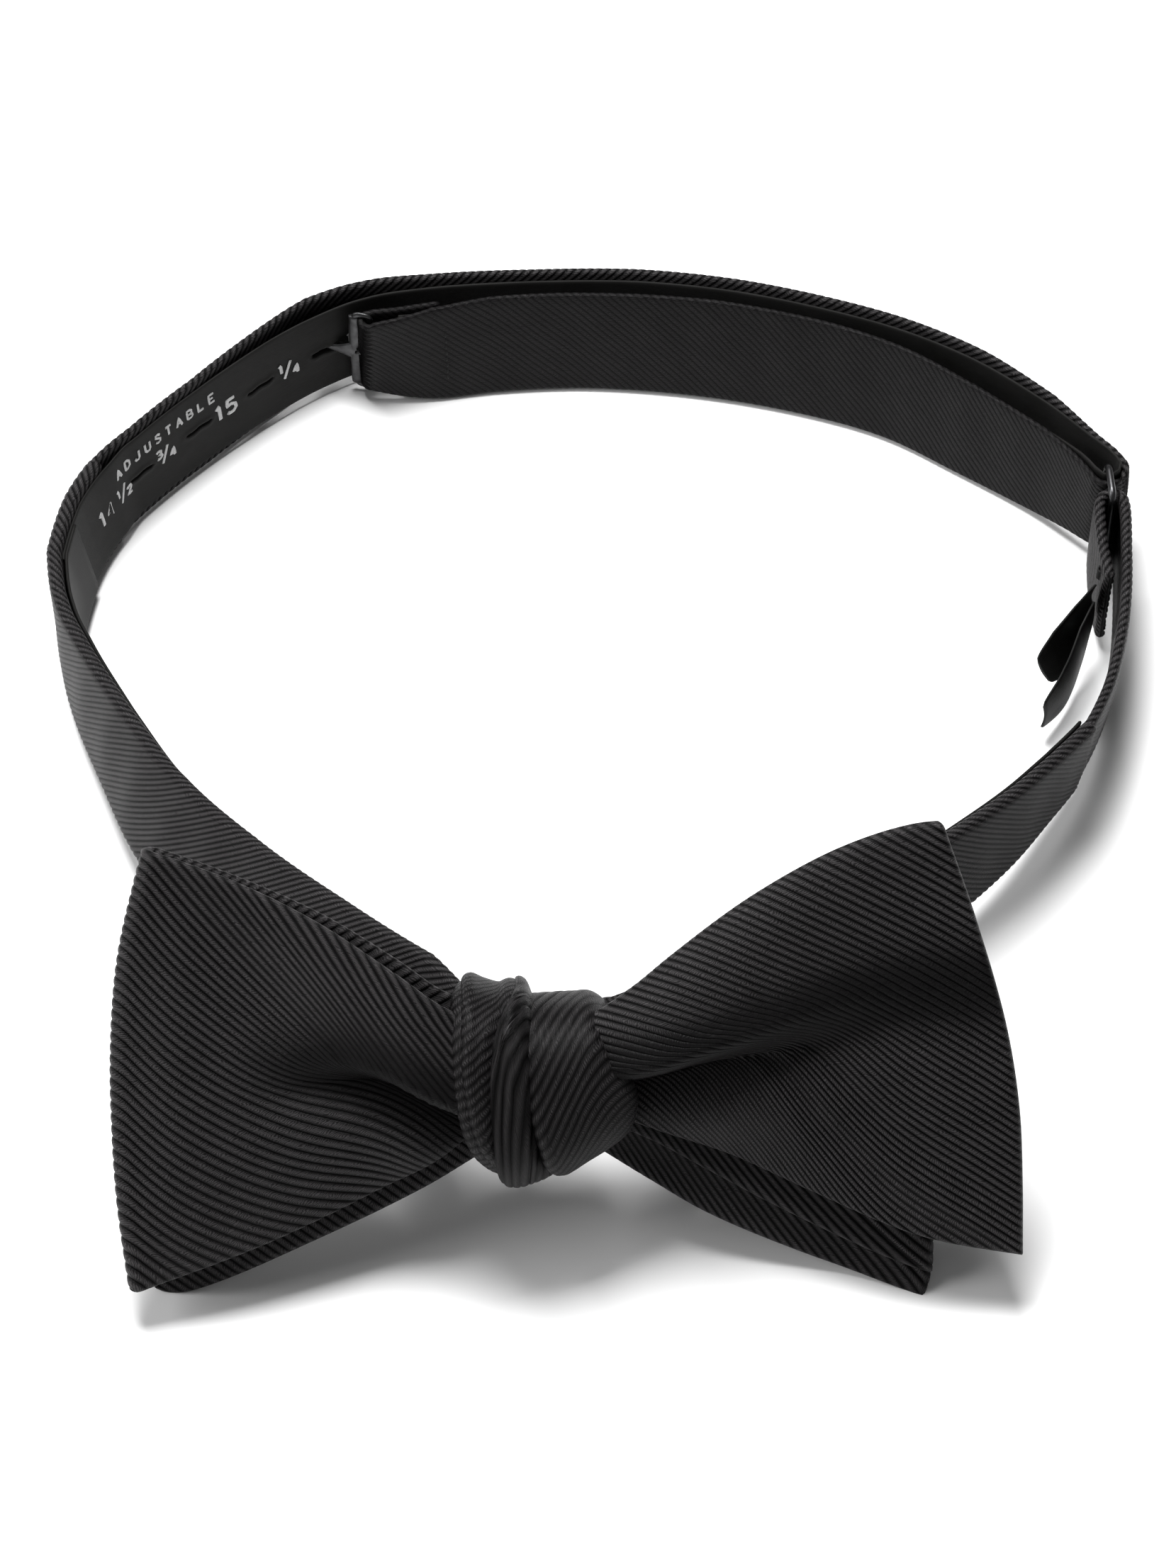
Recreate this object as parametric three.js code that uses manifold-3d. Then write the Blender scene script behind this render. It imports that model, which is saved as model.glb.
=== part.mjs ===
// A tied bow tie on an adjustable neckband, standing on its lower edges.
// Millimetres, +Z up, +X to the right of the bow seen from its front, +Y towards the back of the neck.
import * as THREE from "three";
import { mergeVertices } from "three/addons/utils/BufferGeometryUtils.js";
import Module from "manifold-3d";

const wasm = await Module();
wasm.setup();

// Neckband
const BAND_WIDTH = 17.5; // the flat width of the band and the adjuster strap
const GATHERED_WIDTH = 15.2; // the strap where it passes the ring and the hook
const KNOT_BAND_WIDTH = 13; // the band where the knot gathers it
const SHELL_THICK = 0.6; // ribbed silk with its turned edges
const RIBBON_THICK = 0.4; // satin size ribbon on the strap's inner face
const SHELL_OFFSET = 0.4; // middle of the silk, outward from the strap's middle
const RIBBON_OFFSET = -0.45;
const BAND_THICK = 1.9; // folded silk over its interlining
const BAND_OFFSET = 0.2;
const LINING_THICK = 0.4;
const LINING_OFFSET = -1.6;
const LINING_STOPS = 10; // how far before the end of the left band its lining stops
const LINING_OVERLAP = 6; // how far the lining runs over the size ribbon
const RIBBON_TUCK = -0.57; // the size ribbon's extra depth where it lies on the left band
const GAP = 0.35; // between pieces that touch on the real tie
const RUN_STEP = 4.5; // longest stretch of band between two sections, in mm

// Ring and hook
const RING_PIVOT = { x: 72.3, y: 40.6 }; // the ring's bar in the keeper strap's fold
const RING_TURN = { x: 71.9, y: 46.4 }; // the ring's bar in the adjuster strap's fold
const RING_WIRE = 1.2;
const RING_LOW = 0.3;
const RING_HIGH = 18.7;
const STRAP_TURN_R = 2.25; // the strap's fold around the ring, at its middle
const KEEPER_TURN_R = 1.75;
const KEEPER_THICK = 1.2;
const GATHERED_Z = 1.9; // lower edge of the gathered strap
const HOOK_PIVOT = { x: -31.6, y: 72.2 }; // the hook's inner bar, in the strap's hem
const HEM_TURN_R = 0.95;
const HEM_LENGTH = 10;
const HOOK_PLATE = 0.6;
const HOOK_BAR = 1.0;
const HOOK_WINDOW = 2.0; // between the hook's two bars
const HOOK_LOW = 0.4;
const HOOK_HIGH = 18.2;
const HOOK_TONGUE_Z = 8.9;
const HOOK_TONGUE_WIDTH = 1.2;
const HOOK_ROOT_WIDTH = 4.4;
const HOOK_REACH = 7.15; // from the inner bar to the T head
const HOOK_HEAD = { width: 1.1, height: 4.2 };
const HOOK_TURN = 12.7; // degrees that the hook's plane turns in from the strap's end
const POCKET = 1.7; // how far the silk bulges over the T head

// Size ribbon slots
const SLOT_PITCH = 11.2; // along the ribbon
const SLOT_LENGTH = 4.5;
const SLOT_HEIGHT = 2.2;
const SLOTS_BEFORE_HOOK = 3;
const SLOTS_AFTER_HOOK = 3;

// Bow
const BOW_LEAN = (40 * Math.PI) / 180; // back from upright
const BOW_FOOT_Y = -77; // where the bow's plane meets the ground
const KNOT = { left: -17.6, right: 5, v: 34.9, n: 0.8, halfHeight: 13.2, halfDepth: 9.8 };
const KNOT_HOLE = { v: 35.6, n: -2.4, halfHeight: 9.7, halfDepth: 5.2 };
const CLOTH_THICK = 0.9;
const END_THICK = 1.3;
const LOOP_DEPTH = 1.9; // between the two leaves of a loop
const NECK_END = 0.3; // share of a wing that stays flat inside the knot

// Label
const LABEL_THICK = 0.4;
const LABEL_WIDTH = 10;

const silk = new THREE.MeshStandardMaterial({ color: 0x1c1b1d, roughness: 0.7, metalness: 0 });
const lining = new THREE.MeshStandardMaterial({ color: 0x262427, roughness: 0.45, metalness: 0 });
const satin = new THREE.MeshStandardMaterial({ color: 0x201e20, roughness: 0.35, metalness: 0 });
const metal = new THREE.MeshStandardMaterial({ color: 0x3a3a3d, roughness: 0.4, metalness: 0.9 });
const thread = new THREE.MeshStandardMaterial({ color: 0x3c3a3d, roughness: 0.6, metalness: 0 });

const tie = new THREE.Group();

function add(name, geometry, material, parent = tie) {
  geometry.computeVertexNormals();
  const mesh = new THREE.Mesh(geometry, material);
  mesh.name = name;
  parent.add(mesh);
  return mesh;
}

// A closed solid from two matching grids of points, front and back, joined round their rims.
function slab(front, back) {
  const rows = front.length;
  const cols = front[0].length;
  const points = [...front.flat(), ...back.flat()];
  const faces = [];
  const at = (i, j) => i * cols + j;
  const behind = rows * cols;
  const quad = (a, b, c, d) => faces.push(a, b, c, a, c, d);
  for (let i = 0; i < rows - 1; i++) {
    for (let j = 0; j < cols - 1; j++) {
      quad(at(i, j), at(i + 1, j), at(i + 1, j + 1), at(i, j + 1));
      quad(behind + at(i, j), behind + at(i, j + 1), behind + at(i + 1, j + 1), behind + at(i + 1, j));
    }
  }
  for (let i = 0; i < rows - 1; i++) {
    quad(at(i + 1, 0), at(i, 0), behind + at(i, 0), behind + at(i + 1, 0));
    quad(at(i, cols - 1), at(i + 1, cols - 1), behind + at(i + 1, cols - 1), behind + at(i, cols - 1));
  }
  for (let j = 0; j < cols - 1; j++) {
    quad(at(0, j), at(0, j + 1), behind + at(0, j + 1), behind + at(0, j));
    quad(at(rows - 1, j + 1), at(rows - 1, j), behind + at(rows - 1, j), behind + at(rows - 1, j + 1));
  }
  return closed(points, faces);
}

// The geometry of a closed surface, turned so that its faces look outwards.
function closed(points, faces) {
  let volume = 0;
  for (let k = 0; k < faces.length; k += 3) {
    const [a, b, c] = [points[faces[k]], points[faces[k + 1]], points[faces[k + 2]]];
    volume += a.dot(new THREE.Vector3().crossVectors(b, c));
  }
  const order = volume < 0 ? faces.reverse() : faces;
  const geometry = new THREE.BufferGeometry();
  geometry.setAttribute(
    "position",
    new THREE.Float32BufferAttribute(points.flatMap((p) => [p.x, p.y, p.z]), 3),
  );
  geometry.setIndex(order);
  return geometry;
}

// A sheet of even thickness about a grid of points.
function sheet(grid, thickness) {
  const rows = grid.length;
  const cols = grid[0].length;
  const shifted = (side) =>
    grid.map((row, i) =>
      row.map((p, j) => {
        const along = grid[Math.min(i + 1, rows - 1)][j].clone().sub(grid[Math.max(i - 1, 0)][j]);
        const across = row[Math.min(j + 1, cols - 1)].clone().sub(row[Math.max(j - 1, 0)]);
        const normal = across.cross(along).normalize();
        return p.clone().addScaledVector(normal, (side * thickness) / 2);
      }),
    );
  return slab(shifted(1), shifted(-1));
}

// A band's path: stations of its lower edge with the lean of the band in degrees, outward positive.
class Path {
  constructor(stations) {
    this.stations = stations;
    this.curve = new THREE.CatmullRomCurve3(
      stations.map((s) => new THREE.Vector3(s.x, s.y, s.z)),
      false,
      "centripetal",
    );
    this.last = stations.length - 1;
    this.lengths = [0];
    this.fine = 20;
    let before = this.point(0);
    for (let k = 1; k <= this.last * this.fine; k++) {
      const p = this.point(k / this.fine);
      this.lengths.push(this.lengths[k - 1] + p.distanceTo(before));
      before = p;
    }
  }
  point(t) {
    return this.curve.getPoint(Math.min(Math.max(t / this.last, 0), 1));
  }
  // The length along the path at station number t, and the other way round.
  lengthAt(t) {
    const k = Math.min(Math.floor(t * this.fine), this.lengths.length - 2);
    return this.lengths[k] + (this.lengths[k + 1] - this.lengths[k]) * (t * this.fine - k);
  }
  stationAt(length) {
    let k = 0;
    while (k < this.lengths.length - 2 && this.lengths[k + 1] < length) k++;
    const step = this.lengths[k + 1] - this.lengths[k];
    return (k + (length - this.lengths[k]) / step) / this.fine;
  }
  field(name, usual, t) {
    const k = Math.min(Math.max(Math.floor(t), 0), this.last - 1);
    const a = this.stations[k][name] ?? usual;
    const b = this.stations[k + 1][name] ?? usual;
    return a + (b - a) * (t - k);
  }
  // The section at station number t: its foot, the way up it, the way along and the way out.
  frame(t) {
    const foot = this.point(t);
    const along = this.point(t + 0.02).sub(this.point(t - 0.02)).normalize();
    const out = new THREE.Vector3(0, 0, 1).cross(along).normalize();
    const lean = (this.field("lean", 0, t) * Math.PI) / 180;
    const up = new THREE.Vector3(0, 0, Math.cos(lean)).addScaledVector(out, Math.sin(lean));
    const normal = up.clone().cross(along).normalize();
    return { foot, along, up, normal, width: this.field("width", BAND_WIDTH, t) };
  }
  // Station numbers between two of them, close enough together for the band's bends.
  steps(from, to) {
    const list = [from];
    const whole = [];
    for (let k = Math.ceil(from + 0.05); k < to - 0.04; k++) whole.push(k);
    for (const next of [...whole, to]) {
      const t = list[list.length - 1];
      const n = Math.max(1, Math.ceil((this.lengthAt(next) - this.lengthAt(t)) / RUN_STEP));
      for (let k = 1; k <= n; k++) list.push(t + ((next - t) * k) / n);
    }
    return list;
  }
}

// A strip of cloth along a path between two stations, offset outwards from the path.
function strip(path, from, to, offset, thickness, extra = "") {
  const side = (depth) =>
    path.steps(from, to).map((t) => {
      const f = path.frame(t);
      const shift = offset + depth + (extra ? path.field(extra, 0, t) : 0);
      const low = f.foot.clone().addScaledVector(f.normal, shift);
      return [low, low.clone().addScaledVector(f.up, f.width)];
    });
  return slab(side(thickness / 2), side(-thickness / 2));
}

function arc(centre, radius, fromDeg, toDeg, count, rest) {
  const list = [];
  for (let k = 0; k < count; k++) {
    const angle = ((fromDeg + ((toDeg - fromDeg) * k) / (count - 1)) * Math.PI) / 180;
    const x = centre.x + radius * Math.cos(angle);
    const y = centre.y + radius * Math.sin(angle);
    list.push({ x, y, ...rest });
  }
  return list;
}

const gathered = { z: GATHERED_Z, width: GATHERED_WIDTH, lean: 0 };
const knotEnd = { width: KNOT_BAND_WIDTH };

// From the knot up the left side, round the back to the ring, back inside to the hook, and its hem.
const strapPath = new Path([
  { x: -7.6, y: -54.2, z: 19.5, lean: -40, ...knotEnd },
  { x: -13.5, y: -54.3, z: 19.5, lean: -40, ...knotEnd },
  { x: -19.5, y: -54.4, z: 18.8, lean: -40, width: 14.5 },
  { x: -28.0, y: -47.5, z: 15.4, lean: -39 },
  { x: -40.0, y: -36.6, z: 12.0, lean: -37 },
  { x: -52.0, y: -23.5, z: 8.0, lean: -32 },
  { x: -61.0, y: -10.4, z: 5.0, lean: -24 },
  { x: -66.8, y: 3.6, z: 3.0, lean: -13 },
  { x: -71.2, y: 15.9, z: 1.2, lean: -6 },
  { x: -72.8, y: 24.0, z: 0.3, lean: 0, tuck: RIBBON_TUCK },
  { x: -72.0, y: 32.0, z: 0, lean: 8, tuck: RIBBON_TUCK },
  { x: -69.9, y: 40.4, z: 0, lean: 9, tuck: RIBBON_TUCK },
  { x: -67.0, y: 46.4, z: 0, lean: 8, tuck: RIBBON_TUCK },
  { x: -62.9, y: 51.6, z: 0, lean: 6 },
  { x: -54.9, y: 59.6, z: 0, lean: 6 },
  { x: -44.9, y: 67.9, z: 0, lean: 7, pocket: 0.5 * POCKET },
  { x: -38.7, y: 72.1, z: 0, lean: 6.6, pocket: POCKET },
  { x: -31.9, y: 75.3, z: 0, lean: 6.6, pocket: 0.6 * POCKET },
  { x: -23.0, y: 76.6, z: 0, lean: 8.5, pocket: 0.2 * POCKET },
  { x: -9.0, y: 77.3, z: 0, lean: 10 },
  { x: 6.5, y: 77.1, z: 0, lean: 11 },
  { x: 20.0, y: 75.4, z: 0, lean: 11 },
  { x: 33.0, y: 72.4, z: 0, lean: 10 },
  { x: 44.0, y: 68.8, z: 0, lean: 9 },
  { x: 54.0, y: 63.8, z: 0, lean: 8 },
  { x: 63.2, y: 56.8, z: 0.4, lean: 7, width: 17 },
  { x: 69.2, y: 51.3, z: 1.4, lean: 4, width: 15.8 },
  ...arc(RING_TURN, STRAP_TURN_R, 46, -134, 7, gathered),
  { x: 67.6, y: 47.1, z: 1.5, lean: -4, width: 15.6 },
  { x: 62.4, y: 51.4, z: 0.4, lean: -7, width: 17 },
  { x: 52.6, y: 57.9, z: 0, lean: -10 },
  { x: 42.6, y: 64.0, z: 0, lean: -12 },
  { x: 32.3, y: 67.8, z: 0, lean: -14 },
  { x: 16.9, y: 71.3, z: 0, lean: -15 },
  { x: -0.5, y: 73.0, z: 0, lean: -13 },
  { x: -13.9, y: 72.4, z: 0, lean: -13 },
  { x: -22.5, y: 71.2, z: 0, lean: -10 },
  { x: -27.6, y: 71.0, z: 0.9, lean: -5, width: 16.4 },
  ...arc(HOOK_PIVOT, HEM_TURN_R, 270, 90, 7, gathered),
  { x: -27.6, y: 73.0, z: GATHERED_Z, lean: 3, width: GATHERED_WIDTH },
  { x: HOOK_PIVOT.x + HEM_LENGTH, y: 73.4, z: 1.6, lean: 7, width: GATHERED_WIDTH },
]);
const LINING_STARTS = 2.5; // stations between the end of the band and the start of its lining, at the knot
const BAND_ENDS = 12; // station where the left band's silk stops
const HOOKED_SLOT = 16.24;
const HEM_STARTS = 43; // first station of the fold round the hook's inner bar
const STRAP_ENDS = strapPath.last;

// From the end of the keeper's tail, round the ring's bar, and down the right side to the knot.
const keeperPath = new Path([
  { x: 71.2, y: 28.0, z: 1.6, lean: -1, width: 15.6 },
  { x: 70.5, y: 33.0, z: 1.9, lean: -1, width: GATHERED_WIDTH },
  ...arc(RING_PIVOT, KEEPER_TURN_R, 180, 0, 7, gathered),
  { x: 73.9, y: 33.0, z: 1.1, lean: 0, width: 16.4 },
  { x: 73.0, y: 24.0, z: 0.3, lean: 1 },
  { x: 71.2, y: 16.8, z: 0.5, lean: 3 },
  { x: 68.9, y: 10.3, z: 1.0, lean: 5 },
  { x: 65.8, y: 3.8, z: 2.0, lean: 6 },
  { x: 61.6, y: -2.6, z: 3.0, lean: 3 },
  { x: 56.4, y: -10.0, z: 4.0, lean: -2 },
  { x: 49.6, y: -17.6, z: 5.0, lean: -7 },
  { x: 40.0, y: -27.5, z: 7.0, lean: -15 },
  { x: 28.0, y: -38.0, z: 10.0, lean: -25 },
  { x: 16.0, y: -47.5, z: 14.0, lean: -35, width: 16 },
  { x: 7.5, y: -54.3, z: 18.9, lean: -40, width: 14.5 },
  { x: 1.0, y: -54.3, z: 19.5, lean: -40, ...knotEnd },
  { x: -5.5, y: -54.2, z: 19.5, lean: -40, ...knotEnd },
]);
const KEEPER_ENDS = 13;

add("left_band", strip(strapPath, 0, BAND_ENDS, BAND_OFFSET, BAND_THICK), silk);
const liningEnd = strapPath.stationAt(strapPath.lengthAt(BAND_ENDS) - LINING_STOPS);
add("left_band_lining", strip(strapPath, LINING_STARTS, liningEnd, LINING_OFFSET, LINING_THICK), lining);
const strapStart = strapPath.stationAt(strapPath.lengthAt(BAND_ENDS) + GAP);
const shell = strip(strapPath, strapStart, STRAP_ENDS, SHELL_OFFSET, SHELL_THICK, "pocket");
add("adjuster_strap", shell, silk);

// manifold-3d solids from three.js geometry and back
function solidFrom(geometry) {
  geometry.deleteAttribute("normal");
  geometry.deleteAttribute("uv");
  const merged = mergeVertices(geometry);
  return new wasm.Manifold(
    new wasm.Mesh({
      numProp: 3,
      vertProperties: merged.getAttribute("position").array,
      triVerts: new Uint32Array(merged.index.array),
    }),
  );
}

function geometryFrom(solid) {
  const mesh = solid.getMesh();
  const geometry = new THREE.BufferGeometry();
  geometry.setAttribute("position", new THREE.Float32BufferAttribute(mesh.vertProperties, 3));
  geometry.setIndex([...mesh.triVerts]);
  return geometry;
}

// The turn that lays X back along a band, Y up it and Z out of its face.
function faceOn(f) {
  return new THREE.Matrix4().makeBasis(f.along.clone().negate(), f.up, f.normal);
}

// A box centred in a band's face at a length along its path.
function cutter(path, length, high, deep) {
  const f = path.frame(path.stationAt(length));
  const centre = f.foot.clone().addScaledVector(f.up, f.width / 2);
  const box = new THREE.BoxGeometry(SLOT_LENGTH, high, deep);
  box.applyMatrix4(faceOn(f).setPosition(centre));
  return solidFrom(box);
}

const ribbonStart = strapPath.stationAt(strapPath.lengthAt(BAND_ENDS) - LINING_STOPS - LINING_OVERLAP);
const plainRibbon = strip(strapPath, ribbonStart, HEM_STARTS, RIBBON_OFFSET, RIBBON_THICK, "tuck");
let ribbon = solidFrom(plainRibbon);
const hookedLength = strapPath.lengthAt(HOOKED_SLOT);
for (let k = -SLOTS_BEFORE_HOOK; k <= SLOTS_AFTER_HOOK; k++) {
  const slot = cutter(strapPath, hookedLength + k * SLOT_PITCH, SLOT_HEIGHT, 4 * RIBBON_THICK);
  ribbon = ribbon.subtract(slot);
}
add("size_ribbon", geometryFrom(ribbon), satin);

add("keeper_strap", strip(keeperPath, 0, KEEPER_ENDS - 0.06, 0, KEEPER_THICK), silk);
add("right_band", strip(keeperPath, KEEPER_ENDS, keeperPath.last, BAND_OFFSET, BAND_THICK), silk);
add(
  "right_band_lining",
  strip(keeperPath, KEEPER_ENDS, keeperPath.last - LINING_STARTS, LINING_OFFSET, LINING_THICK),
  lining,
);

// A rectangle standing in the XY plane as a shape or, drawn backwards, as a hole.
function rectangle(Kind, x0, y0, x1, y1) {
  const r = new Kind();
  r.moveTo(x0, y0);
  r.lineTo(x1, y0);
  r.lineTo(x1, y1);
  r.lineTo(x0, y1);
  r.closePath();
  return r;
}

// A flat plate that stands upright, its shape drawn as (distance from the pivot, height).
function standing(name, shape, thickness, pivot, turn) {
  const geometry = new THREE.ExtrudeGeometry(shape, { depth: thickness, bevelEnabled: false });
  geometry.translate(0, 0, -thickness / 2);
  geometry.rotateX(Math.PI / 2);
  const holder = new THREE.Group();
  holder.position.set(pivot.x, pivot.y, 0);
  holder.rotation.z = turn;
  tie.add(holder);
  return add(name, geometry, metal, holder);
}

const half = RING_WIRE / 2;
const reach = Math.hypot(RING_TURN.x - RING_PIVOT.x, RING_TURN.y - RING_PIVOT.y);
const ringShape = rectangle(THREE.Shape, -half, RING_LOW, reach + half, RING_HIGH);
ringShape.holes.push(
  rectangle(THREE.Path, half, RING_LOW + RING_WIRE, reach - half, RING_HIGH - RING_WIRE),
);
const ringTurn = Math.atan2(RING_TURN.y - RING_PIVOT.y, RING_TURN.x - RING_PIVOT.x);
standing("strap_ring", ringShape, RING_WIRE, RING_PIVOT, ringTurn);

// The hook: a frame with a window for the strap's hem, and a tongue with a T head.
const barOut = HOOK_BAR / 2 + HOOK_WINDOW + HOOK_BAR;
const headTop = HOOK_TONGUE_Z + HOOK_HEAD.height / 2;
const headFoot = HOOK_TONGUE_Z - HOOK_HEAD.height / 2;
const tongueTop = HOOK_TONGUE_Z + HOOK_TONGUE_WIDTH / 2;
const tongueFoot = HOOK_TONGUE_Z - HOOK_TONGUE_WIDTH / 2;
const hookShape = new THREE.Shape();
hookShape.moveTo(-HOOK_BAR / 2, HOOK_LOW);
hookShape.lineTo(barOut, HOOK_LOW);
hookShape.lineTo(barOut, HOOK_TONGUE_Z - HOOK_ROOT_WIDTH / 2);
hookShape.lineTo(barOut + 1.2, tongueFoot);
hookShape.lineTo(HOOK_REACH, tongueFoot);
hookShape.lineTo(HOOK_REACH, headFoot);
hookShape.lineTo(HOOK_REACH + HOOK_HEAD.width, headFoot);
hookShape.lineTo(HOOK_REACH + HOOK_HEAD.width, headTop);
hookShape.lineTo(HOOK_REACH, headTop);
hookShape.lineTo(HOOK_REACH, tongueTop);
hookShape.lineTo(barOut + 1.2, tongueTop);
hookShape.lineTo(barOut, HOOK_TONGUE_Z + HOOK_ROOT_WIDTH / 2);
hookShape.lineTo(barOut, HOOK_HIGH);
hookShape.lineTo(-HOOK_BAR / 2, HOOK_HIGH);
hookShape.closePath();
const windowFoot = HOOK_LOW + HOOK_BAR;
hookShape.holes.push(
  rectangle(
    THREE.Path,
    HOOK_BAR / 2,
    windowFoot,
    HOOK_BAR / 2 + HOOK_WINDOW,
    HOOK_HIGH - HOOK_BAR,
  ),
);
standing("t_hook", hookShape, HOOK_PLATE, HOOK_PIVOT, Math.PI - (HOOK_TURN * Math.PI) / 180);

// A point of the bow: u to the right, v up its leaning plane, n forward of the plane.
function bowPoint(u, v, n) {
  const y = BOW_FOOT_Y + v * Math.sin(BOW_LEAN) - n * Math.cos(BOW_LEAN);
  return new THREE.Vector3(u, y, v * Math.cos(BOW_LEAN) + n * Math.sin(BOW_LEAN));
}

const edge = (points) => new THREE.SplineCurve(points.map(([u, v]) => new THREE.Vector2(u, v)));

// A wing's face between its lower and upper edge, from the knot (a = 0) to its outer edge (a = 1).
function wing({ lower, upper, bulge, depth, front, dip, flare }) {
  const low = edge(lower);
  const high = edge(upper);
  return (a, b, behind) => {
    const p = low.getPoint(a);
    const q = high.getPoint(a);
    const arch = 4 * b * (1 - b);
    const u = p.x + (q.x - p.x) * b + bulge * a * a * arch;
    const v = p.y + (q.y - p.y) * b;
    const open = THREE.MathUtils.smoothstep(a, NECK_END, NECK_END + 0.3);
    const ridge = Math.cos(4 * Math.PI * (b - 0.5)) * dip * Math.exp(-3 * a * a) * open;
    const n = depth + (front - depth) * open - ridge + flare * a * a * arch;
    return bowPoint(u, v, n - behind);
  };
}

const ALONG = [0, 0.08, 0.18, 0.32, 0.48, 0.64, 0.8, 0.92];
const ACROSS = 10;
const across = (f, a, behind) => Array.from({ length: ACROSS + 1 }, (_, j) => f(a, j / ACROSS, behind));

function loop(name, shape) {
  const f = wing(shape);
  const fold = LOOP_DEPTH / 2;
  const grid = [];
  for (const a of ALONG) grid.push(across(f, a, shape.spread * Math.min(1, 0.75 + a) ));
  grid.push(across(f, 0.985, fold * 1.75));
  grid.push(across(f, 1, fold));
  grid.push(across(f, 0.985, fold * 0.25));
  for (const a of [...ALONG].reverse()) grid.push(across(f, a, 0));
  add(name, sheet(grid, CLOTH_THICK), silk);
}

function flatEnd(name, shape) {
  const f = wing(shape);
  add(name, sheet([...ALONG, 1].map((a) => across(f, a, 0)), END_THICK), silk);
}

loop("front_left_loop", {
  lower: [[-8, 29.5], [-13, 28.6], [-18, 26], [-26, 20.2], [-41, 12.6], [-58.6, 5.4]],
  upper: [[-8, 42.5], [-13, 43], [-18, 44.6], [-25.5, 49.4], [-39, 57.6], [-55.6, 65]],
  bulge: -3.4,
  depth: 1.2,
  front: 3.2,
  dip: 1.6,
  flare: 1.4,
  spread: LOOP_DEPTH,
});
flatEnd("front_right_end", {
  lower: [[-5, 29.5], [0.5, 28.8], [5.6, 27.4], [14.5, 24.6], [28.6, 18.1], [42, 12.9], [55, 11]],
  upper: [[-5, 42.5], [0.5, 43.2], [5.6, 44.6], [11.5, 51.3], [21, 60], [32, 66], [44.2, 68]],
  bulge: 3.4,
  depth: 0.6,
  front: 3.4,
  dip: 1.9,
  flare: 1.6,
});
loop("back_right_loop", {
  lower: [[-5, 30], [0.5, 28.5], [5.6, 26.4], [12, 17], [28, 7.6], [43.2, 2.9]],
  upper: [[-5, 42], [0.5, 42.5], [6, 44.5], [14, 48], [25, 53], [37, 58]],
  bulge: 1.5,
  depth: -1.4,
  front: -1.4,
  dip: 0.2,
  flare: 0.4,
  spread: LOOP_DEPTH - 0.4,
});
flatEnd("back_left_end", {
  lower: [[-8, 30], [-13, 28.5], [-17.9, 26.4], [-25, 17], [-41, 8.2], [-56, 3.4]],
  upper: [[-8, 42], [-14, 42.5], [-20, 44.5], [-30, 49.5], [-41, 55], [-52, 59]],
  bulge: -2.5,
  depth: -2.2,
  front: -1.8,
  dip: 0.2,
  flare: 0.2,
});

// The knot: a thick sleeve of folded silk round the necks of the bow and the band.
function superellipse(centre, angle, scale, power) {
  const c = Math.cos(angle);
  const s = Math.sin(angle);
  const v = Math.sign(c) * Math.abs(c) ** (2 / power) * centre.halfHeight * scale;
  const n = Math.sign(s) * Math.abs(s) ** (2 / power) * centre.halfDepth * scale;
  return [centre.v + v, centre.n + n];
}

const KNOT_SIDES = 28;
const OUTSIDE = [[0, 0.89], [0.08, 0.94], [0.3, 1], [0.6, 1], [0.85, 0.96], [1, 0.89]];
const INSIDE = [[1, 1.04], [0.8, 1], [0.2, 1], [0, 1.04]];
const knotPoints = [];
for (let j = 0; j < KNOT_SIDES; j++) {
  const angle = (2 * Math.PI * j) / KNOT_SIDES;
  for (const [along, scale] of OUTSIDE) {
    const [v, n] = superellipse(KNOT, angle, scale, 2.6);
    knotPoints.push(bowPoint(KNOT.left + along * (KNOT.right - KNOT.left), v, n));
  }
  for (const [along, scale] of INSIDE) {
    const [v, n] = superellipse(KNOT_HOLE, angle, scale, 6);
    knotPoints.push(bowPoint(KNOT.left + along * (KNOT.right - KNOT.left), v, n));
  }
}
const RIM = OUTSIDE.length + INSIDE.length;
const knotFaces = [];
for (let j = 0; j < KNOT_SIDES; j++) {
  for (let k = 0; k < RIM; k++) {
    const a = j * RIM + k;
    const b = ((j + 1) % KNOT_SIDES) * RIM + k;
    const c = ((j + 1) % KNOT_SIDES) * RIM + ((k + 1) % RIM);
    const d = j * RIM + ((k + 1) % RIM);
    knotFaces.push(a, b, c, a, c, d);
  }
}
add("knot_wrap", closed(knotPoints, knotFaces), silk);

// The care label: one satin ribbon folded in two, hanging inward from the keeper's tail.
const labelLeaf = [
  { x: 68.6, y: 28.6, z: 5.6, rise: 1 },
  { x: 66.4, y: 26.0, z: 4.6, rise: 1 },
  { x: 64.4, y: 22.0, z: 3.2, rise: 0.95 },
  { x: 63.6, y: 17.6, z: 1.6, rise: 0.75 },
];
const labelBack = [
  { x: 64.6, y: 12.9, z: 0.5, rise: 0.35 },
  { x: 66.0, y: 17.4, z: 1.0, rise: 0.7 },
  { x: 67.6, y: 22.6, z: 3.2, rise: 0.9 },
  { x: 69.0, y: 26.6, z: 5.4, rise: 1 },
];
const labelRow = (p) =>
  [0, 0.5, 1].map((b) => {
    const lean = 0.35 * b * LABEL_WIDTH * (1.1 - p.rise);
    return new THREE.Vector3(p.x + lean, p.y, p.z + b * LABEL_WIDTH * p.rise);
  });
add("care_label_front", sheet(labelLeaf.map(labelRow), LABEL_THICK), satin);
add("care_label_back", sheet(labelBack.map(labelRow), LABEL_THICK), satin);

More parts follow.
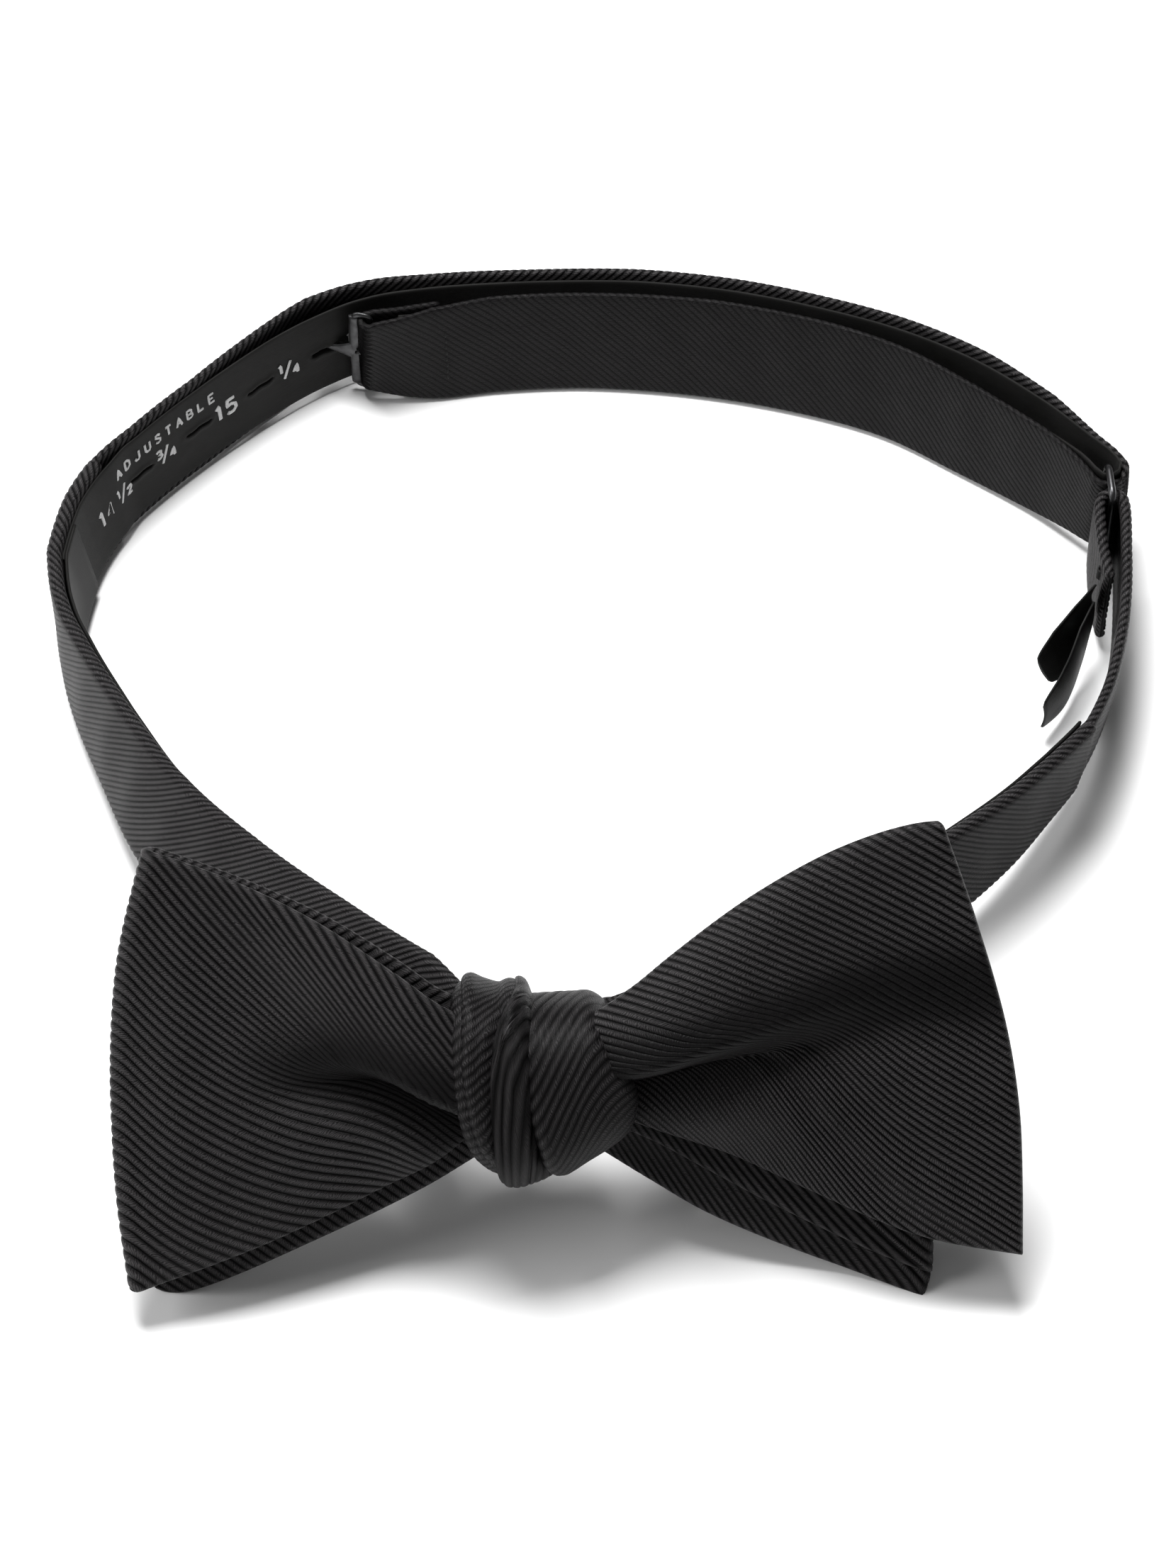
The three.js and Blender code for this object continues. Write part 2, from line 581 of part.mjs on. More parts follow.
// Bar tacks: short blocks of thread that close a hem or a fold.
function tack(name, path, length, up, size, offset) {
  const f = path.frame(path.stationAt(length));
  const centre = f.foot.clone().addScaledVector(f.up, up).addScaledVector(f.normal, offset);
  const geometry = new THREE.BoxGeometry(...size);
  const mesh = add(name, geometry, thread);
  mesh.quaternion.setFromRotationMatrix(faceOn(f));
  mesh.position.copy(centre);
}
tack("keeper_tack", keeperPath, 2.6, 12.4, [0.5, 2.4, 0.5], KEEPER_THICK / 2 + GAP + 0.3);
tack(
  "hem_tack",
  strapPath,
  strapPath.lengthAt(HEM_STARTS) - 7,
  8.2,
  [0.5, 9, 0.35],
  SHELL_OFFSET + SHELL_THICK / 2 + GAP,
);

// The origin is under the middle of the whole tie, on the surface it stands on.
tie.updateMatrixWorld(true);
const bounds = new THREE.Box3().setFromObject(tie, true);
const middle = bounds.getCenter(new THREE.Vector3());
tie.children.forEach((child) => {
  child.position.x -= middle.x;
  child.position.y -= middle.y;
  child.position.z -= bounds.min.z;
});

export default tie;
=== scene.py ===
"""A tied silk bow tie on an adjustable neckband: its cloth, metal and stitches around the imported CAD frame.

Lengths are in millimetres in the design frame of the CAD source until place() turns them into the row frame.
Ribbed cloth is made rib by rib: every rib is a few rows of points, so that its ridge is real geometry.
"""

import math

import bpy
import numpy as np
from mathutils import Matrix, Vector


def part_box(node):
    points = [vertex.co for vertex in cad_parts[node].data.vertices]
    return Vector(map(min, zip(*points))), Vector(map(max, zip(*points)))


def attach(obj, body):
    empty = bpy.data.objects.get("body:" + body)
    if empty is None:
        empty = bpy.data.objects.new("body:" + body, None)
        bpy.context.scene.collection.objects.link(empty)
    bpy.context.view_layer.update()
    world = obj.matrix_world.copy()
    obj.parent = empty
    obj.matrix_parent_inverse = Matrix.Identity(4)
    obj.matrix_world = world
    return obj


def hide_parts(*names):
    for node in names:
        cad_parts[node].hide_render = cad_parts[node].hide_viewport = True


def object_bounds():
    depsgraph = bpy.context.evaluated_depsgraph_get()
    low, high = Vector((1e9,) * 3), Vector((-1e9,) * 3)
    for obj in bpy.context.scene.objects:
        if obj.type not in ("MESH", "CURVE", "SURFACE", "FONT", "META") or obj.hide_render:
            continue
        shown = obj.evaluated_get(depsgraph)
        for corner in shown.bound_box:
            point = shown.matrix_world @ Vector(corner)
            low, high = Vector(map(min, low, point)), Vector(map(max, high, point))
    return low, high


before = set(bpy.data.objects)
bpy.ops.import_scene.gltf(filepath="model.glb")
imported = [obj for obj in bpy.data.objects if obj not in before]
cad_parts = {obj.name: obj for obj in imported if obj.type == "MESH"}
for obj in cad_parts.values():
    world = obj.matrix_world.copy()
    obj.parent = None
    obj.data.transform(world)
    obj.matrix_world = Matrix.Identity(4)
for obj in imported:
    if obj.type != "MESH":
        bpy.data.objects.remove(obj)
cad_low, cad_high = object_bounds()

# The strap ring's middle in the design frame, which gives the shift to the row frame.
RING_MIDDLE = np.array([72.1, 43.5, 9.5])
ring_low, ring_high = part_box("strap_ring")
SHIFT = np.array((ring_low + ring_high) / 2) * 1000 - RING_MIDDLE

# Neckband
BAND_WIDTH = 17.5
GATHERED_WIDTH = 15.2
KNOT_BAND_WIDTH = 13
GATHERED_Z = 1.9
RING_PIVOT = (72.3, 40.6)
RING_TURN = (71.9, 46.4)
STRAP_TURN_R = 2.25
KEEPER_TURN_R = 1.75
HOOK_PIVOT = (-31.6, 72.2)
HEM_TURN_R = 0.95
HEM_LENGTH = 10
POCKET = 1.7

# Depths of a tube's outer and inner faces from its path, and of a lining's middle
BAND_FACES = (1.15, -0.75)
STRAP_FACES = (0.72, -0.12)
KEEPER_FACES = (0.6, -0.6)
LINING_MIDDLE = -1.45
LINING_THICK = 0.5
STRIP_INSET = 1.3  # of a lining or ribbon from the band's edges
STRAP_OVERLAP = 1.0  # of the strap under the left band's end
KEEPER_OVERLAP = 1.5  # of the keeper inside the right band's mouth
RETURN_RIB = 0.07  # the return run is nearly smooth

# Bow
BOW_LEAN = math.radians(40)
BOW_FOOT_Y = -77.0
COLUMN_STEP = 0.8

# Ribbed silk
BAND_PITCH = 1.2  # between ribs along a band, which they cross at 45 degrees
WING_PITCH = 1.16
LEFT_PITCH = 1.62  # up the left wing, where ribs lie at 45 degrees
RIB_PHASES = np.array([0.0, 0.09, 0.27, 0.5, 0.73, 0.91])
BAND_RIB = 0.17
WING_RIB = 0.34
KNOT_RIB = 0.19
DIAGONAL = 1.414  # cloth length along a rib that crosses a band at 45 degrees

# Threads
THREAD_R = 0.13
THREAD_SHADE = 0.8

random = np.random.default_rng(7)


def place(points):
    """Design millimetres to row metres."""
    return (np.asarray(points, float) + SHIFT) / 1000


def smooth(x, low, high):
    t = np.clip((x - low) / (high - low), 0, 1)
    return t * t * (3 - 2 * t)


def round_off(x):
    """A quarter circle that rises from 0 at x = 0 to 1 at x = 1."""
    return np.sqrt(np.clip(1 - (1 - np.clip(x, 0, 1)) ** 2, 0, 1))


def unit(vectors):
    return vectors / np.maximum(np.linalg.norm(vectors, axis=-1, keepdims=True), 1e-9)


def summed(steps):
    """The running sum of steps, from 0."""
    return np.concatenate([[0], np.cumsum(steps)])


def bell(x, width):
    return np.exp(-((x / width) ** 2))


RIB_RISE = round_off(1 - np.abs(2 * RIB_PHASES - 1))


def rib_set(first, last):
    """Rows over the ribs from first to last: where each row lies, counted in ribs, and how high it stands."""
    ribs = np.arange(first, last)
    return (ribs[:, None] + RIB_PHASES).ravel(), np.tile(RIB_RISE, len(ribs))


# ---------------------------------------------------------------- meshes


def grid_faces(rows, cols, start=0):
    """The quads of a grid of points, row by row."""
    i, j = np.meshgrid(np.arange(rows - 1), np.arange(cols - 1), indexing="ij")
    a = (i * cols + j).ravel() + start
    return np.stack([a, a + cols, a + cols + 1, a + 1], axis=1)


def weld(points, faces, cloth):
    """Joins points that coincide, and drops the faces that closed up."""
    keys = np.round(points / 2e-4).astype(np.int64)
    _, first, inverse = np.unique(keys, axis=0, return_index=True, return_inverse=True)
    faces = inverse.reshape(-1)[faces]
    corners = [faces[:, k] for k in range(4)]
    same = [corners[k] == corners[(k + 1) % 4] for k in range(4)]
    crossed = (corners[0] == corners[2]) | (corners[1] == corners[3])
    doubles = sum(s.astype(int) for s in same)
    quads = faces[(doubles == 0) & ~crossed]
    triangles = []
    for k in range(4):
        found = faces[(doubles == 1) & same[k] & ~crossed]
        triangles.append(np.delete(found, k, axis=1))
    return points[first], quads, np.concatenate(triangles), cloth[first]


def piece(name, shape, material, body, node=None):
    """A welded, outward-facing mesh object from points in design millimetres, riding on a body."""
    points, quads, triangles, cloth = weld(*shape)
    corners = np.concatenate([triangles, quads[:, :3], quads[:, [0, 2, 3]]])
    a, b, c = (points[corners[:, k]] for k in range(3))
    if np.einsum("ij,ij->i", a, np.cross(b, c)).sum() < 0:
        quads, triangles = quads[:, ::-1], triangles[:, ::-1]
    mesh = bpy.data.meshes.new(name)
    mesh.vertices.add(len(points))
    mesh.vertices.foreach_set("co", place(points).astype(np.float32).ravel())
    loops = np.concatenate([quads.ravel(), triangles.ravel()])
    mesh.loops.add(len(loops))
    mesh.loops.foreach_set("vertex_index", loops.astype(np.int32))
    sizes = np.concatenate([np.full(len(quads), 4), np.full(len(triangles), 3)])
    mesh.polygons.add(len(sizes))
    starts = np.concatenate([[0], np.cumsum(sizes)[:-1]])
    mesh.polygons.foreach_set("loop_start", starts.astype(np.int32))
    mesh.polygons.foreach_set("use_smooth", np.ones(len(sizes), bool))
    mesh.update(calc_edges=True)
    mesh.validate()
    cloth_data = mesh.attributes.new("cloth", "FLOAT_VECTOR", "POINT")
    cloth_data.data.foreach_set("vector", cloth.astype(np.float32).ravel())
    made = bpy.data.objects.new(name, mesh)
    bpy.context.scene.collection.objects.link(made)
    made.data.materials.append(material)
    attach(made, body)
    if node:
        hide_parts(node)
    return made


def cloth_of(along, across, shade):
    """The cloth attribute: a point's place along and across the threads, and how high it stands, which also
    sets its painted highlight and shade.
    """
    return np.stack(np.broadcast_arrays(along, across, shade), axis=-1)


def two_faced(middle, normal, front, back, cloth):
    """A closed sheet, with faces at the depths front and back along the normal from its middle."""
    rows, cols = front.shape
    points = [(middle + normal * depth[..., None]).reshape(-1, 3) for depth in (front, back)]
    faces = [grid_faces(rows, cols), grid_faces(rows, cols, rows * cols)[:, ::-1]]
    return np.concatenate(points), np.concatenate(faces), np.concatenate([cloth.reshape(-1, 3)] * 2)


# ---------------------------------------------------------------- bands


class Path:
    """A band's lower edge, a smooth curve through stations (x, y, z, lean, width, pocket)."""

    FINE = 24

    def __init__(self, stations):
        rows = [tuple(s) + (0, BAND_WIDTH, 0)[len(s) - 3:] for s in stations]
        table = np.array(rows, float)
        self.last = len(table) - 1
        t = np.linspace(0, self.last, self.last * self.FINE + 1)
        foot = self.curve(table[:, :3], t)
        self.t = t
        self.s = summed(np.linalg.norm(np.diff(foot, axis=0), axis=1))
        along = unit(np.gradient(foot, self.s, axis=0))
        out = unit(np.cross([0, 0, 1], along))
        lean, width, pocket = (np.interp(t, np.arange(self.last + 1), table[:, k]) for k in (3, 4, 5))
        lean = np.radians(lean)[:, None]
        up = np.array([0, 0, 1]) * np.cos(lean) + out * np.sin(lean)
        normal = np.cross(up, along)
        self.fields = np.column_stack([foot, up, normal, width, pocket])

    @staticmethod
    def curve(points, t):
        """A centripetal Catmull-Rom curve at t, which counts points."""
        first = 2 * points[0] - points[1]
        final = 2 * points[-1] - points[-2]
        p = np.vstack([first, points, final])
        k = np.clip(np.floor(t).astype(int), 0, len(points) - 2)
        w = (t - k)[:, None]
        p0, p1, p2, p3 = p[k], p[k + 1], p[k + 2], p[k + 3]
        d0, d1, d2 = (
            np.maximum(np.linalg.norm(b - a, axis=1, keepdims=True), 1e-8) ** 0.5
            for a, b in ((p0, p1), (p1, p2), (p2, p3))
        )
        t1 = ((p1 - p0) / d0 - (p2 - p0) / (d0 + d1) + (p2 - p1) / d1) * d1
        t2 = ((p2 - p1) / d1 - (p3 - p1) / (d1 + d2) + (p3 - p2) / d2) * d1
        return p1 + t1 * w + (3 * p2 - 3 * p1 - 2 * t1 - t2) * w**2 + (2 * p1 - 2 * p2 + t1 + t2) * w**3

    def length(self, station):
        return float(np.interp(station, self.t, self.s))

    def at(self, s):
        """foot, up, normal, width and pocket at each length s."""
        s = np.asarray(s, float)
        found = np.stack([np.interp(s, self.s, f) for f in self.fields.T], axis=-1)
        return found[..., 0:3], found[..., 3:6], found[..., 6:9], found[..., 9], found[..., 10]


def arc(centre, radius, start, end, count, *rest):
    angles = np.radians(np.linspace(start, end, count))
    return [(centre[0] + radius * math.cos(a), centre[1] + radius * math.sin(a), *rest) for a in angles]


GATHERED = (0, GATHERED_WIDTH)
strap_path = Path([
    (-7.6, -54.2, 19.5, -40, KNOT_BAND_WIDTH),
    (-13.5, -54.3, 19.5, -40, KNOT_BAND_WIDTH),
    (-19.5, -54.4, 18.8, -40, 14.5),
    (-28.0, -47.5, 15.4, -39),
    (-40.0, -36.6, 12.0, -37),
    (-52.0, -23.5, 8.0, -32),
    (-61.0, -10.4, 5.0, -24),
    (-66.8, 3.6, 3.0, -13),
    (-71.2, 15.9, 1.2, -6),
    (-72.8, 24.0, 0.3, 0),
    (-72.0, 32.0, 0, 8),
    (-69.9, 40.4, 0, 9),
    (-67.0, 46.4, 0, 8),
    (-62.9, 51.6, 0, 6),
    (-54.9, 59.6, 0, 6),
    (-44.9, 67.9, 0, 7, BAND_WIDTH, 0.5 * POCKET),
    (-38.7, 72.1, 0, 6.6, BAND_WIDTH, POCKET),
    (-31.9, 75.3, 0, 6.6, BAND_WIDTH, 0.6 * POCKET),
    (-23.0, 76.6, 0, 8.5, BAND_WIDTH, 0.2 * POCKET),
    (-9.0, 77.3, 0, 10),
    (6.5, 77.1, 0, 11),
    (20.0, 75.4, 0, 11),
    (33.0, 72.4, 0, 10),
    (44.0, 68.8, 0, 9),
    (54.0, 63.8, 0, 8),
    (63.2, 56.8, 0.4, 7, 17),
    (69.2, 51.3, 1.4, 4, 15.8),
    *arc(RING_TURN, STRAP_TURN_R, 46, -134, 7, GATHERED_Z, *GATHERED),
    (67.6, 47.1, 1.5, -4, 15.6),
    (62.4, 51.4, 0.4, -7, 17),
    (52.6, 57.9, 0, -10),
    (42.6, 64.0, 0, -12),
    (32.3, 67.8, 0, -14),
    (16.9, 71.3, 0, -15),
    (-0.5, 73.0, 0, -13),
    (-13.9, 72.4, 0, -13),
    (-22.5, 71.2, 0, -10),
    (-27.6, 71.0, 0.9, -5, 16.4),
    *arc(HOOK_PIVOT, HEM_TURN_R, 270, 90, 7, GATHERED_Z, *GATHERED),
    (-27.6, 73.0, GATHERED_Z, 3, GATHERED_WIDTH),
    (HOOK_PIVOT[0] + HEM_LENGTH, 73.4, 1.6, 7, GATHERED_WIDTH),
])
BAND_ENDS = strap_path.length(12)
RING_AT = strap_path.length(30)
HEM_STARTS = strap_path.length(43)
STRAP_ENDS = strap_path.s[-1]

keeper_path = Path([
    (71.2, 28.0, 1.6, -1, 15.6),
    (70.5, 33.0, 1.9, -1, GATHERED_WIDTH),
    *arc(RING_PIVOT, KEEPER_TURN_R, 180, 0, 7, GATHERED_Z, *GATHERED),
    (73.9, 33.0, 1.1, 0, 16.4),
    (73.0, 24.0, 0.3, 1),
    (71.2, 16.8, 0.5, 3),
    (68.9, 10.3, 1.0, 5),
    (65.8, 3.8, 2.0, 6),
    (61.6, -2.6, 3.0, 3),
    (56.4, -10.0, 4.0, -2),
    (49.6, -17.6, 5.0, -7),
    (40.0, -27.5, 7.0, -15),
    (28.0, -38.0, 10.0, -25),
    (16.0, -47.5, 14.0, -35, 16),
    (7.5, -54.3, 18.9, -40, 14.5),
    (1.0, -54.3, 19.5, -40, KNOT_BAND_WIDTH),
    (-5.5, -54.2, 19.5, -40, KNOT_BAND_WIDTH),
])
KEEPER_ENDS = keeper_path.length(13)
RIGHT_ENDS = keeper_path.s[-1]


def section(outer, inner):
    """A flat tube's section: distance round it, share of the width, and the turn of its face, in radians."""
    r = (outer - inner) / 2
    flat = BAND_WIDTH - 2 * r
    parts = [
        (np.linspace(0.5, 0, 6), np.full(6, -90.0), flat / 2),
        (np.zeros(7), np.linspace(-90, -270, 7), math.pi * r),
        (np.linspace(0, 1, 16), np.full(16, -270.0), flat),
        (np.ones(7), np.linspace(90, -90, 7), math.pi * r),
        (np.linspace(1, 0.5, 6), np.full(6, -90.0), flat / 2),
    ]
    x, share, turn = [], [], []
    around = 0.0
    for f, a, size in parts:
        steps = np.linspace(0, size, len(f)) + around
        around += size
        skip = 1 if x else 0
        x += list(steps[skip:])
        share += list(f[skip:])
        turn += list(a[skip:])
    return np.array(x), np.array(share), np.radians(turn), around, r


def waves(s, size, seed):
    """Slow, small bumps along a length."""
    rng = np.random.default_rng(seed)
    total = np.zeros_like(s)
    for length in (9.0, 14.0, 23.0):
        total += rng.normal() * np.sin(2 * math.pi * s / length + rng.uniform(0, 6.3))
    return total * size / 2


def silk_tube(name, node, path, start, end, outer, inner, rib=BAND_RIB, flip=False):
    """A flat tube of ribbed silk along a path, its ribs at 45 degrees and turned over both edges."""
    x, share, turn, around, r = section(outer, inner)
    if flip:
        x = around - x
    pitch = around / round(around / BAND_PITCH)
    q, rise = rib_set(math.floor(start / pitch), math.ceil((end + around) / pitch) + 1)
    keep = (q * pitch > start) & (q * pitch < end + around)
    q = np.concatenate([[start], q[keep] * pitch, [end + around]])
    rise = np.concatenate([[0], rise[keep], [0]])[:, None]
    s = np.clip(q[:, None] - x, start, end)
    foot, up, normal, width, pocket = path.at(s)
    from_edge = np.minimum(np.minimum(share, 1 - share) * (BAND_WIDTH - 2 * r), 9)
    inside = np.abs(np.degrees(turn) + 90) < 1
    fade = np.where(inside, 1 - smooth(from_edge, 1.6, 2.8), 1.0)
    taper = 0.25 + 0.75 * round_off(np.minimum(s - start, end - s) / 0.8)
    crown = np.where(inside, 0, np.sin(math.pi * share))
    rho = r * taper * (1 + 0.25 * crown) + rib * rise * fade * taper
    middle = (outer + inner) / 2 + pocket + waves(s, 0.10, 3) * crown
    high = r + share * (width - 2 * r) + rho * np.cos(turn)
    deep = middle + rho * np.sin(turn)
    points = (foot + up * high[..., None] + normal * deep[..., None]).reshape(-1, 3)
    # Painted rib highlight and shade: the shade value follows each rib's rise, held nearer a middle tone
    # where the ribs stand lower.
    wear_and_shade = min(rib / BAND_RIB, 1)
    shade = 0.6 + (rise * fade - 0.6) * wear_and_shade
    cloth = cloth_of(x * DIAGONAL, q[:, None], shade).reshape(-1, 3)
    rows, cols = s.shape
    faces = [grid_faces(rows, cols)]
    for row in (0, rows - 1):
        hub = np.full(cols - 1, len(points))
        base = row * cols
        points = np.vstack([points, points[base:base + cols].mean(0)])
        cloth = np.vstack([cloth, cloth[base]])
        ring = np.arange(base, base + cols - 1)
        fan = np.stack([hub, ring, ring + 1, ring + 1], axis=1)
        faces.append(fan[:, ::-1] if row == 0 else fan)
    made = piece(name, (points, np.concatenate(faces), cloth), silk, "tie", node)


def lining_strip(name, node, path, start, end):
    """A smooth flat strip with rounded edges, held in from the band's edges."""
    across = np.concatenate([[0, 0.1, 0.3], np.linspace(0.8, 16, 16), [16.6, 16.8, 16.9]])
    across = across / across[-1]
    s = np.linspace(start, end, max(4, int(end - start)))
    s = np.concatenate([[start, start + 0.1], s[1:-1], [end - 0.1, end]])
    foot, up, normal, width, _ = path.at(s)
    side_round = round_off(np.minimum(across, 1 - across) * 16 / 0.35)
    end_round = round_off(np.minimum(s - start, end - s) / 0.15)[:, None]
    half = LINING_THICK / 2 * np.minimum(side_round, end_round)
    lift = LINING_MIDDLE + waves(s, 0.08, 5)[:, None] * np.sin(math.pi * across)
    high = STRIP_INSET + across * (width - 2 * STRIP_INSET)[:, None]
    base = foot[:, None, :] + up[:, None, :] * high[..., None]
    cloth = cloth_of(s[:, None], high, 1.0)
    shape = two_faced(base, normal[:, None, :], lift + half, lift - half, cloth)
    made = piece(name, shape, lining, "tie", node)


# ---------------------------------------------------------------- leaves of ribbed cloth


def bow_point(u, v, n):
    """A point of the bow: u to the right, v up its leaning plane, n forward of the plane."""
    y = BOW_FOOT_Y + v * math.sin(BOW_LEAN) - n * math.cos(BOW_LEAN)
    return np.stack([u, y, v * math.cos(BOW_LEAN) + n * math.sin(BOW_LEAN)], axis=-1)


END_STEPS = np.array([0, 0.07, 0.22, 0.45, 0.8, 1.3])


def run_samples(start, end, count):
    """count positions from start to end for each row, close together at both ends."""
    length = end - start
    scale = np.minimum(1, length / 4)[:, None]
    head = start[:, None] + END_STEPS * scale
    tail = end[:, None] - END_STEPS[::-1] * scale
    inner = np.linspace(0, 1, count - 2 * len(END_STEPS) + 2)[1:-1]
    low, high = head[:, -1:], tail[:, :1]
    return np.concatenate([head, low + (high - low) * inner, tail], axis=1)


def leaf(name, node, columns, table, free, shut, surface, thick, rib=WING_RIB, count=44, pitch=WING_PITCH,
         painted_shade=lambda p, w: 0):
    """A closed leaf of ribbed cloth.

    table[r, c] is where rib row r crosses column c. free(p, w) is the distance inside the cloth's free edges,
    shut(p, w) the distance inside an edge that is hidden, and surface(p, w) the leaf's middle in design
    millimetres. Rows may pass through p = 0, where the cloth folds. The last argument, a function of (p, w),
    is how much painted shade darkens the ribs' colour there, standing in for the shadow in the pleats.
    """
    across, rise = rib_set(0, len(table) // len(RIB_PHASES))
    across = across * pitch
    p = np.broadcast_to(columns, table.shape)
    inside = np.minimum(free(p, table), shut(p, table))
    ok = inside > 0
    kept = ok.any(axis=1)
    table, inside, ok, across, rise = (part[kept] for part in (table, inside, ok, across, rise))
    rows = np.arange(len(table))
    first = ok.argmax(axis=1)
    last = len(columns) - 1 - ok[:, ::-1].argmax(axis=1)
    before, after = np.maximum(first - 1, 0), np.minimum(last + 1, len(columns) - 1)

    def crossing(a, b):
        fa, fb = inside[rows, a], inside[rows, b]
        share = np.where(a == b, 0, fa / np.where(a == b, 1, fa - fb))
        return columns[a] + share * (columns[b] - columns[a])

    start, end = crossing(first, before), crossing(last, after)
    if columns[0] < 0:
        fold = np.clip(0, start, end)
        at = np.concatenate([run_samples(start, fold, count), run_samples(fold, end, count)[:, 1:]], axis=1)
    else:
        at = run_samples(start, end, count)
    step = columns[1] - columns[0]
    k = np.clip(((at - columns[0]) / step).astype(int), 0, len(columns) - 2)
    part = (at - columns[k]) / step
    w = table[rows[:, None], k] * (1 - part) + table[rows[:, None], k + 1] * part
    gap = np.abs(np.gradient(w, axis=0)) / np.gradient(across)[:, None]
    distance = np.maximum(free(at, w), 0)
    distance[:, [0, -1]] = 0
    distance[[0, -1]] = 0
    half = thick / 2 * round_off(distance / (0.62 * thick))
    ridge = rib * rise[:, None] * round_off(distance / 0.6) * np.clip(gap, 0.15, 1.0)
    middle = surface(at, w)
    small = 0.04
    dp = surface(at + small, w) - surface(at - small, w)
    dw = surface(at, w + small) - surface(at, w - small)
    normal = unit(np.cross(dp, dw))
    steps = np.linalg.norm(np.diff(middle, axis=1), axis=-1)
    along = np.concatenate([np.zeros((len(rows), 1)), np.cumsum(steps, axis=1)], axis=1)
    # The ribs' rise, lowered where the painted shade falls, sets their painted highlight and shade in the
    # material.
    cloth = cloth_of(along, across[:, None], rise[:, None] * (1 - painted_shade(at, w)))
    shape = two_faced(middle, normal, half + ridge, -half - ridge, cloth)
    return piece(name, shape, silk, "tie", node)


def rib_table(columns, low, high, density, slope, top, pitch, q_range):
    """Where each rib row crosses each column.

    In a column, the cloth between two heights measures the integral of density(u, v), down from height top.
    Along a rib that distance grows by slope(u) for each millimetre of u.
    """
    fine = 0.2
    v = np.arange(high, low, -fine)
    q = rib_set(math.floor(q_range[0] / pitch), math.ceil(q_range[1] / pitch))[0] * pitch
    grow = summed((slope(columns[1:]) + slope(columns[:-1])) / 2 * np.diff(columns))
    table = np.empty((len(q), len(columns)))
    for c, u in enumerate(columns):
        weight = density(u, v)
        depth = summed((weight[1:] + weight[:-1]) / 2 * fine)
        depth -= np.interp(-top, -v, depth)
        wanted = q + grow[c]
        table[:, c] = np.interp(wanted, depth, v)
        below, above = wanted > depth[-1], wanted < depth[0]
        table[below, c] = v[-1] - (wanted - depth[-1])[below]
        table[above, c] = v[0] + (depth[0] - wanted)[above]
    return table


def curve_of(points):
    """A smooth function through a few (position, value) points."""
    xs, ys = np.array(points, float).T
    fine = np.linspace(0, len(xs) - 1, 24 * (len(xs) - 1) + 1)
    line = Path.curve(np.column_stack([xs, ys, 0 * xs]), fine)
    return lambda x: np.interp(x, line[:, 0], line[:, 1])


# ---------------------------------------------------------------- round wires and threads


def tube(points, wide, deep=None, closed=False, sides=12, up=(0, 0, 1)):
    """A swept ellipse: wide is its half size along up, deep the other; either may change along it."""
    points = np.asarray(points, float)
    wide = np.broadcast_to(np.asarray(wide, float), len(points))
    deep = wide if deep is None else np.broadcast_to(np.asarray(deep, float), len(points))
    if closed:
        ahead, behind = np.roll(points, -1, axis=0), np.roll(points, 1, axis=0)
    else:
        ahead = np.vstack([points[1:], points[-1:]])
        behind = np.vstack([points[:1], points[:-1]])
    along = ahead - behind
    along /= np.linalg.norm(along, axis=1, keepdims=True)
    side = np.cross(along, up)
    weak = np.linalg.norm(side, axis=1) < 0.2
    side[weak] = np.cross(along[weak], np.roll(up, 1))
    for k in range(1, len(side)):
        carried = side[k - 1] - along[k] * np.dot(side[k - 1], along[k])
        if weak.any() and np.linalg.norm(carried) > 1e-6:
            side[k] = carried
    side /= np.linalg.norm(side, axis=1, keepdims=True)
    high = np.cross(side, along)
    a = np.linspace(0, 2 * math.pi, sides, endpoint=False)
    ring = points[:, None, :] + side[:, None, :] * (deep[:, None] * np.cos(a))[..., None]
    ring = ring + high[:, None, :] * (wide[:, None] * np.sin(a))[..., None]
    n = len(points)
    flat = ring.reshape(-1, 3)
    i, j = np.meshgrid(np.arange(n if closed else n - 1), np.arange(sides), indexing="ij")
    i, j = i.ravel(), j.ravel()
    nexti, nextj = (i + 1) % n, (j + 1) % sides
    faces = np.stack([i * sides + j, i * sides + nextj, nexti * sides + nextj, nexti * sides + j], axis=1)
    s = summed(np.linalg.norm(np.diff(points, axis=0), axis=1))
    cloth = np.stack([np.repeat(s, sides), np.tile(a, n), np.full(n * sides, THREAD_SHADE)], axis=-1)
    if closed:
        return flat, faces, cloth
    j = np.arange(sides)
    for row, turned in ((0, False), (n - 1, True)):
        base, hub = row * sides, np.full(sides, len(flat))
        flat = np.vstack([flat, points[row]])
        cloth = np.vstack([cloth, [s[row], 0, THREAD_SHADE]])
        fan = np.stack([hub, base + (j + 1) % sides, base + j, base + j], axis=1)
        faces = np.concatenate([faces, fan[:, ::-1] if turned else fan])
    return flat, faces, cloth


def joined(parts):
    """Several (points, faces, cloth) as one."""
    points, faces, cloth, start = [], [], [], 0
    for p, f, c in parts:
        points.append(p)
        faces.append(f + start)
        cloth.append(c)
        start += len(p)
    return np.concatenate(points), np.concatenate(faces), np.concatenate(cloth)


def rounded_loop(width, height, radius, corner=7):
    """Points of a rounded rectangle about the origin."""
    out = []
    for k, (x_side, y_side) in enumerate(((1, 1), (-1, 1), (-1, -1), (1, -1))):
        centre = (x_side * (width / 2 - radius), y_side * (height / 2 - radius))
        out += arc(centre, radius, 90 * k, 90 * k + 90, corner)
    return np.array(out)


# ---------------------------------------------------------------- materials


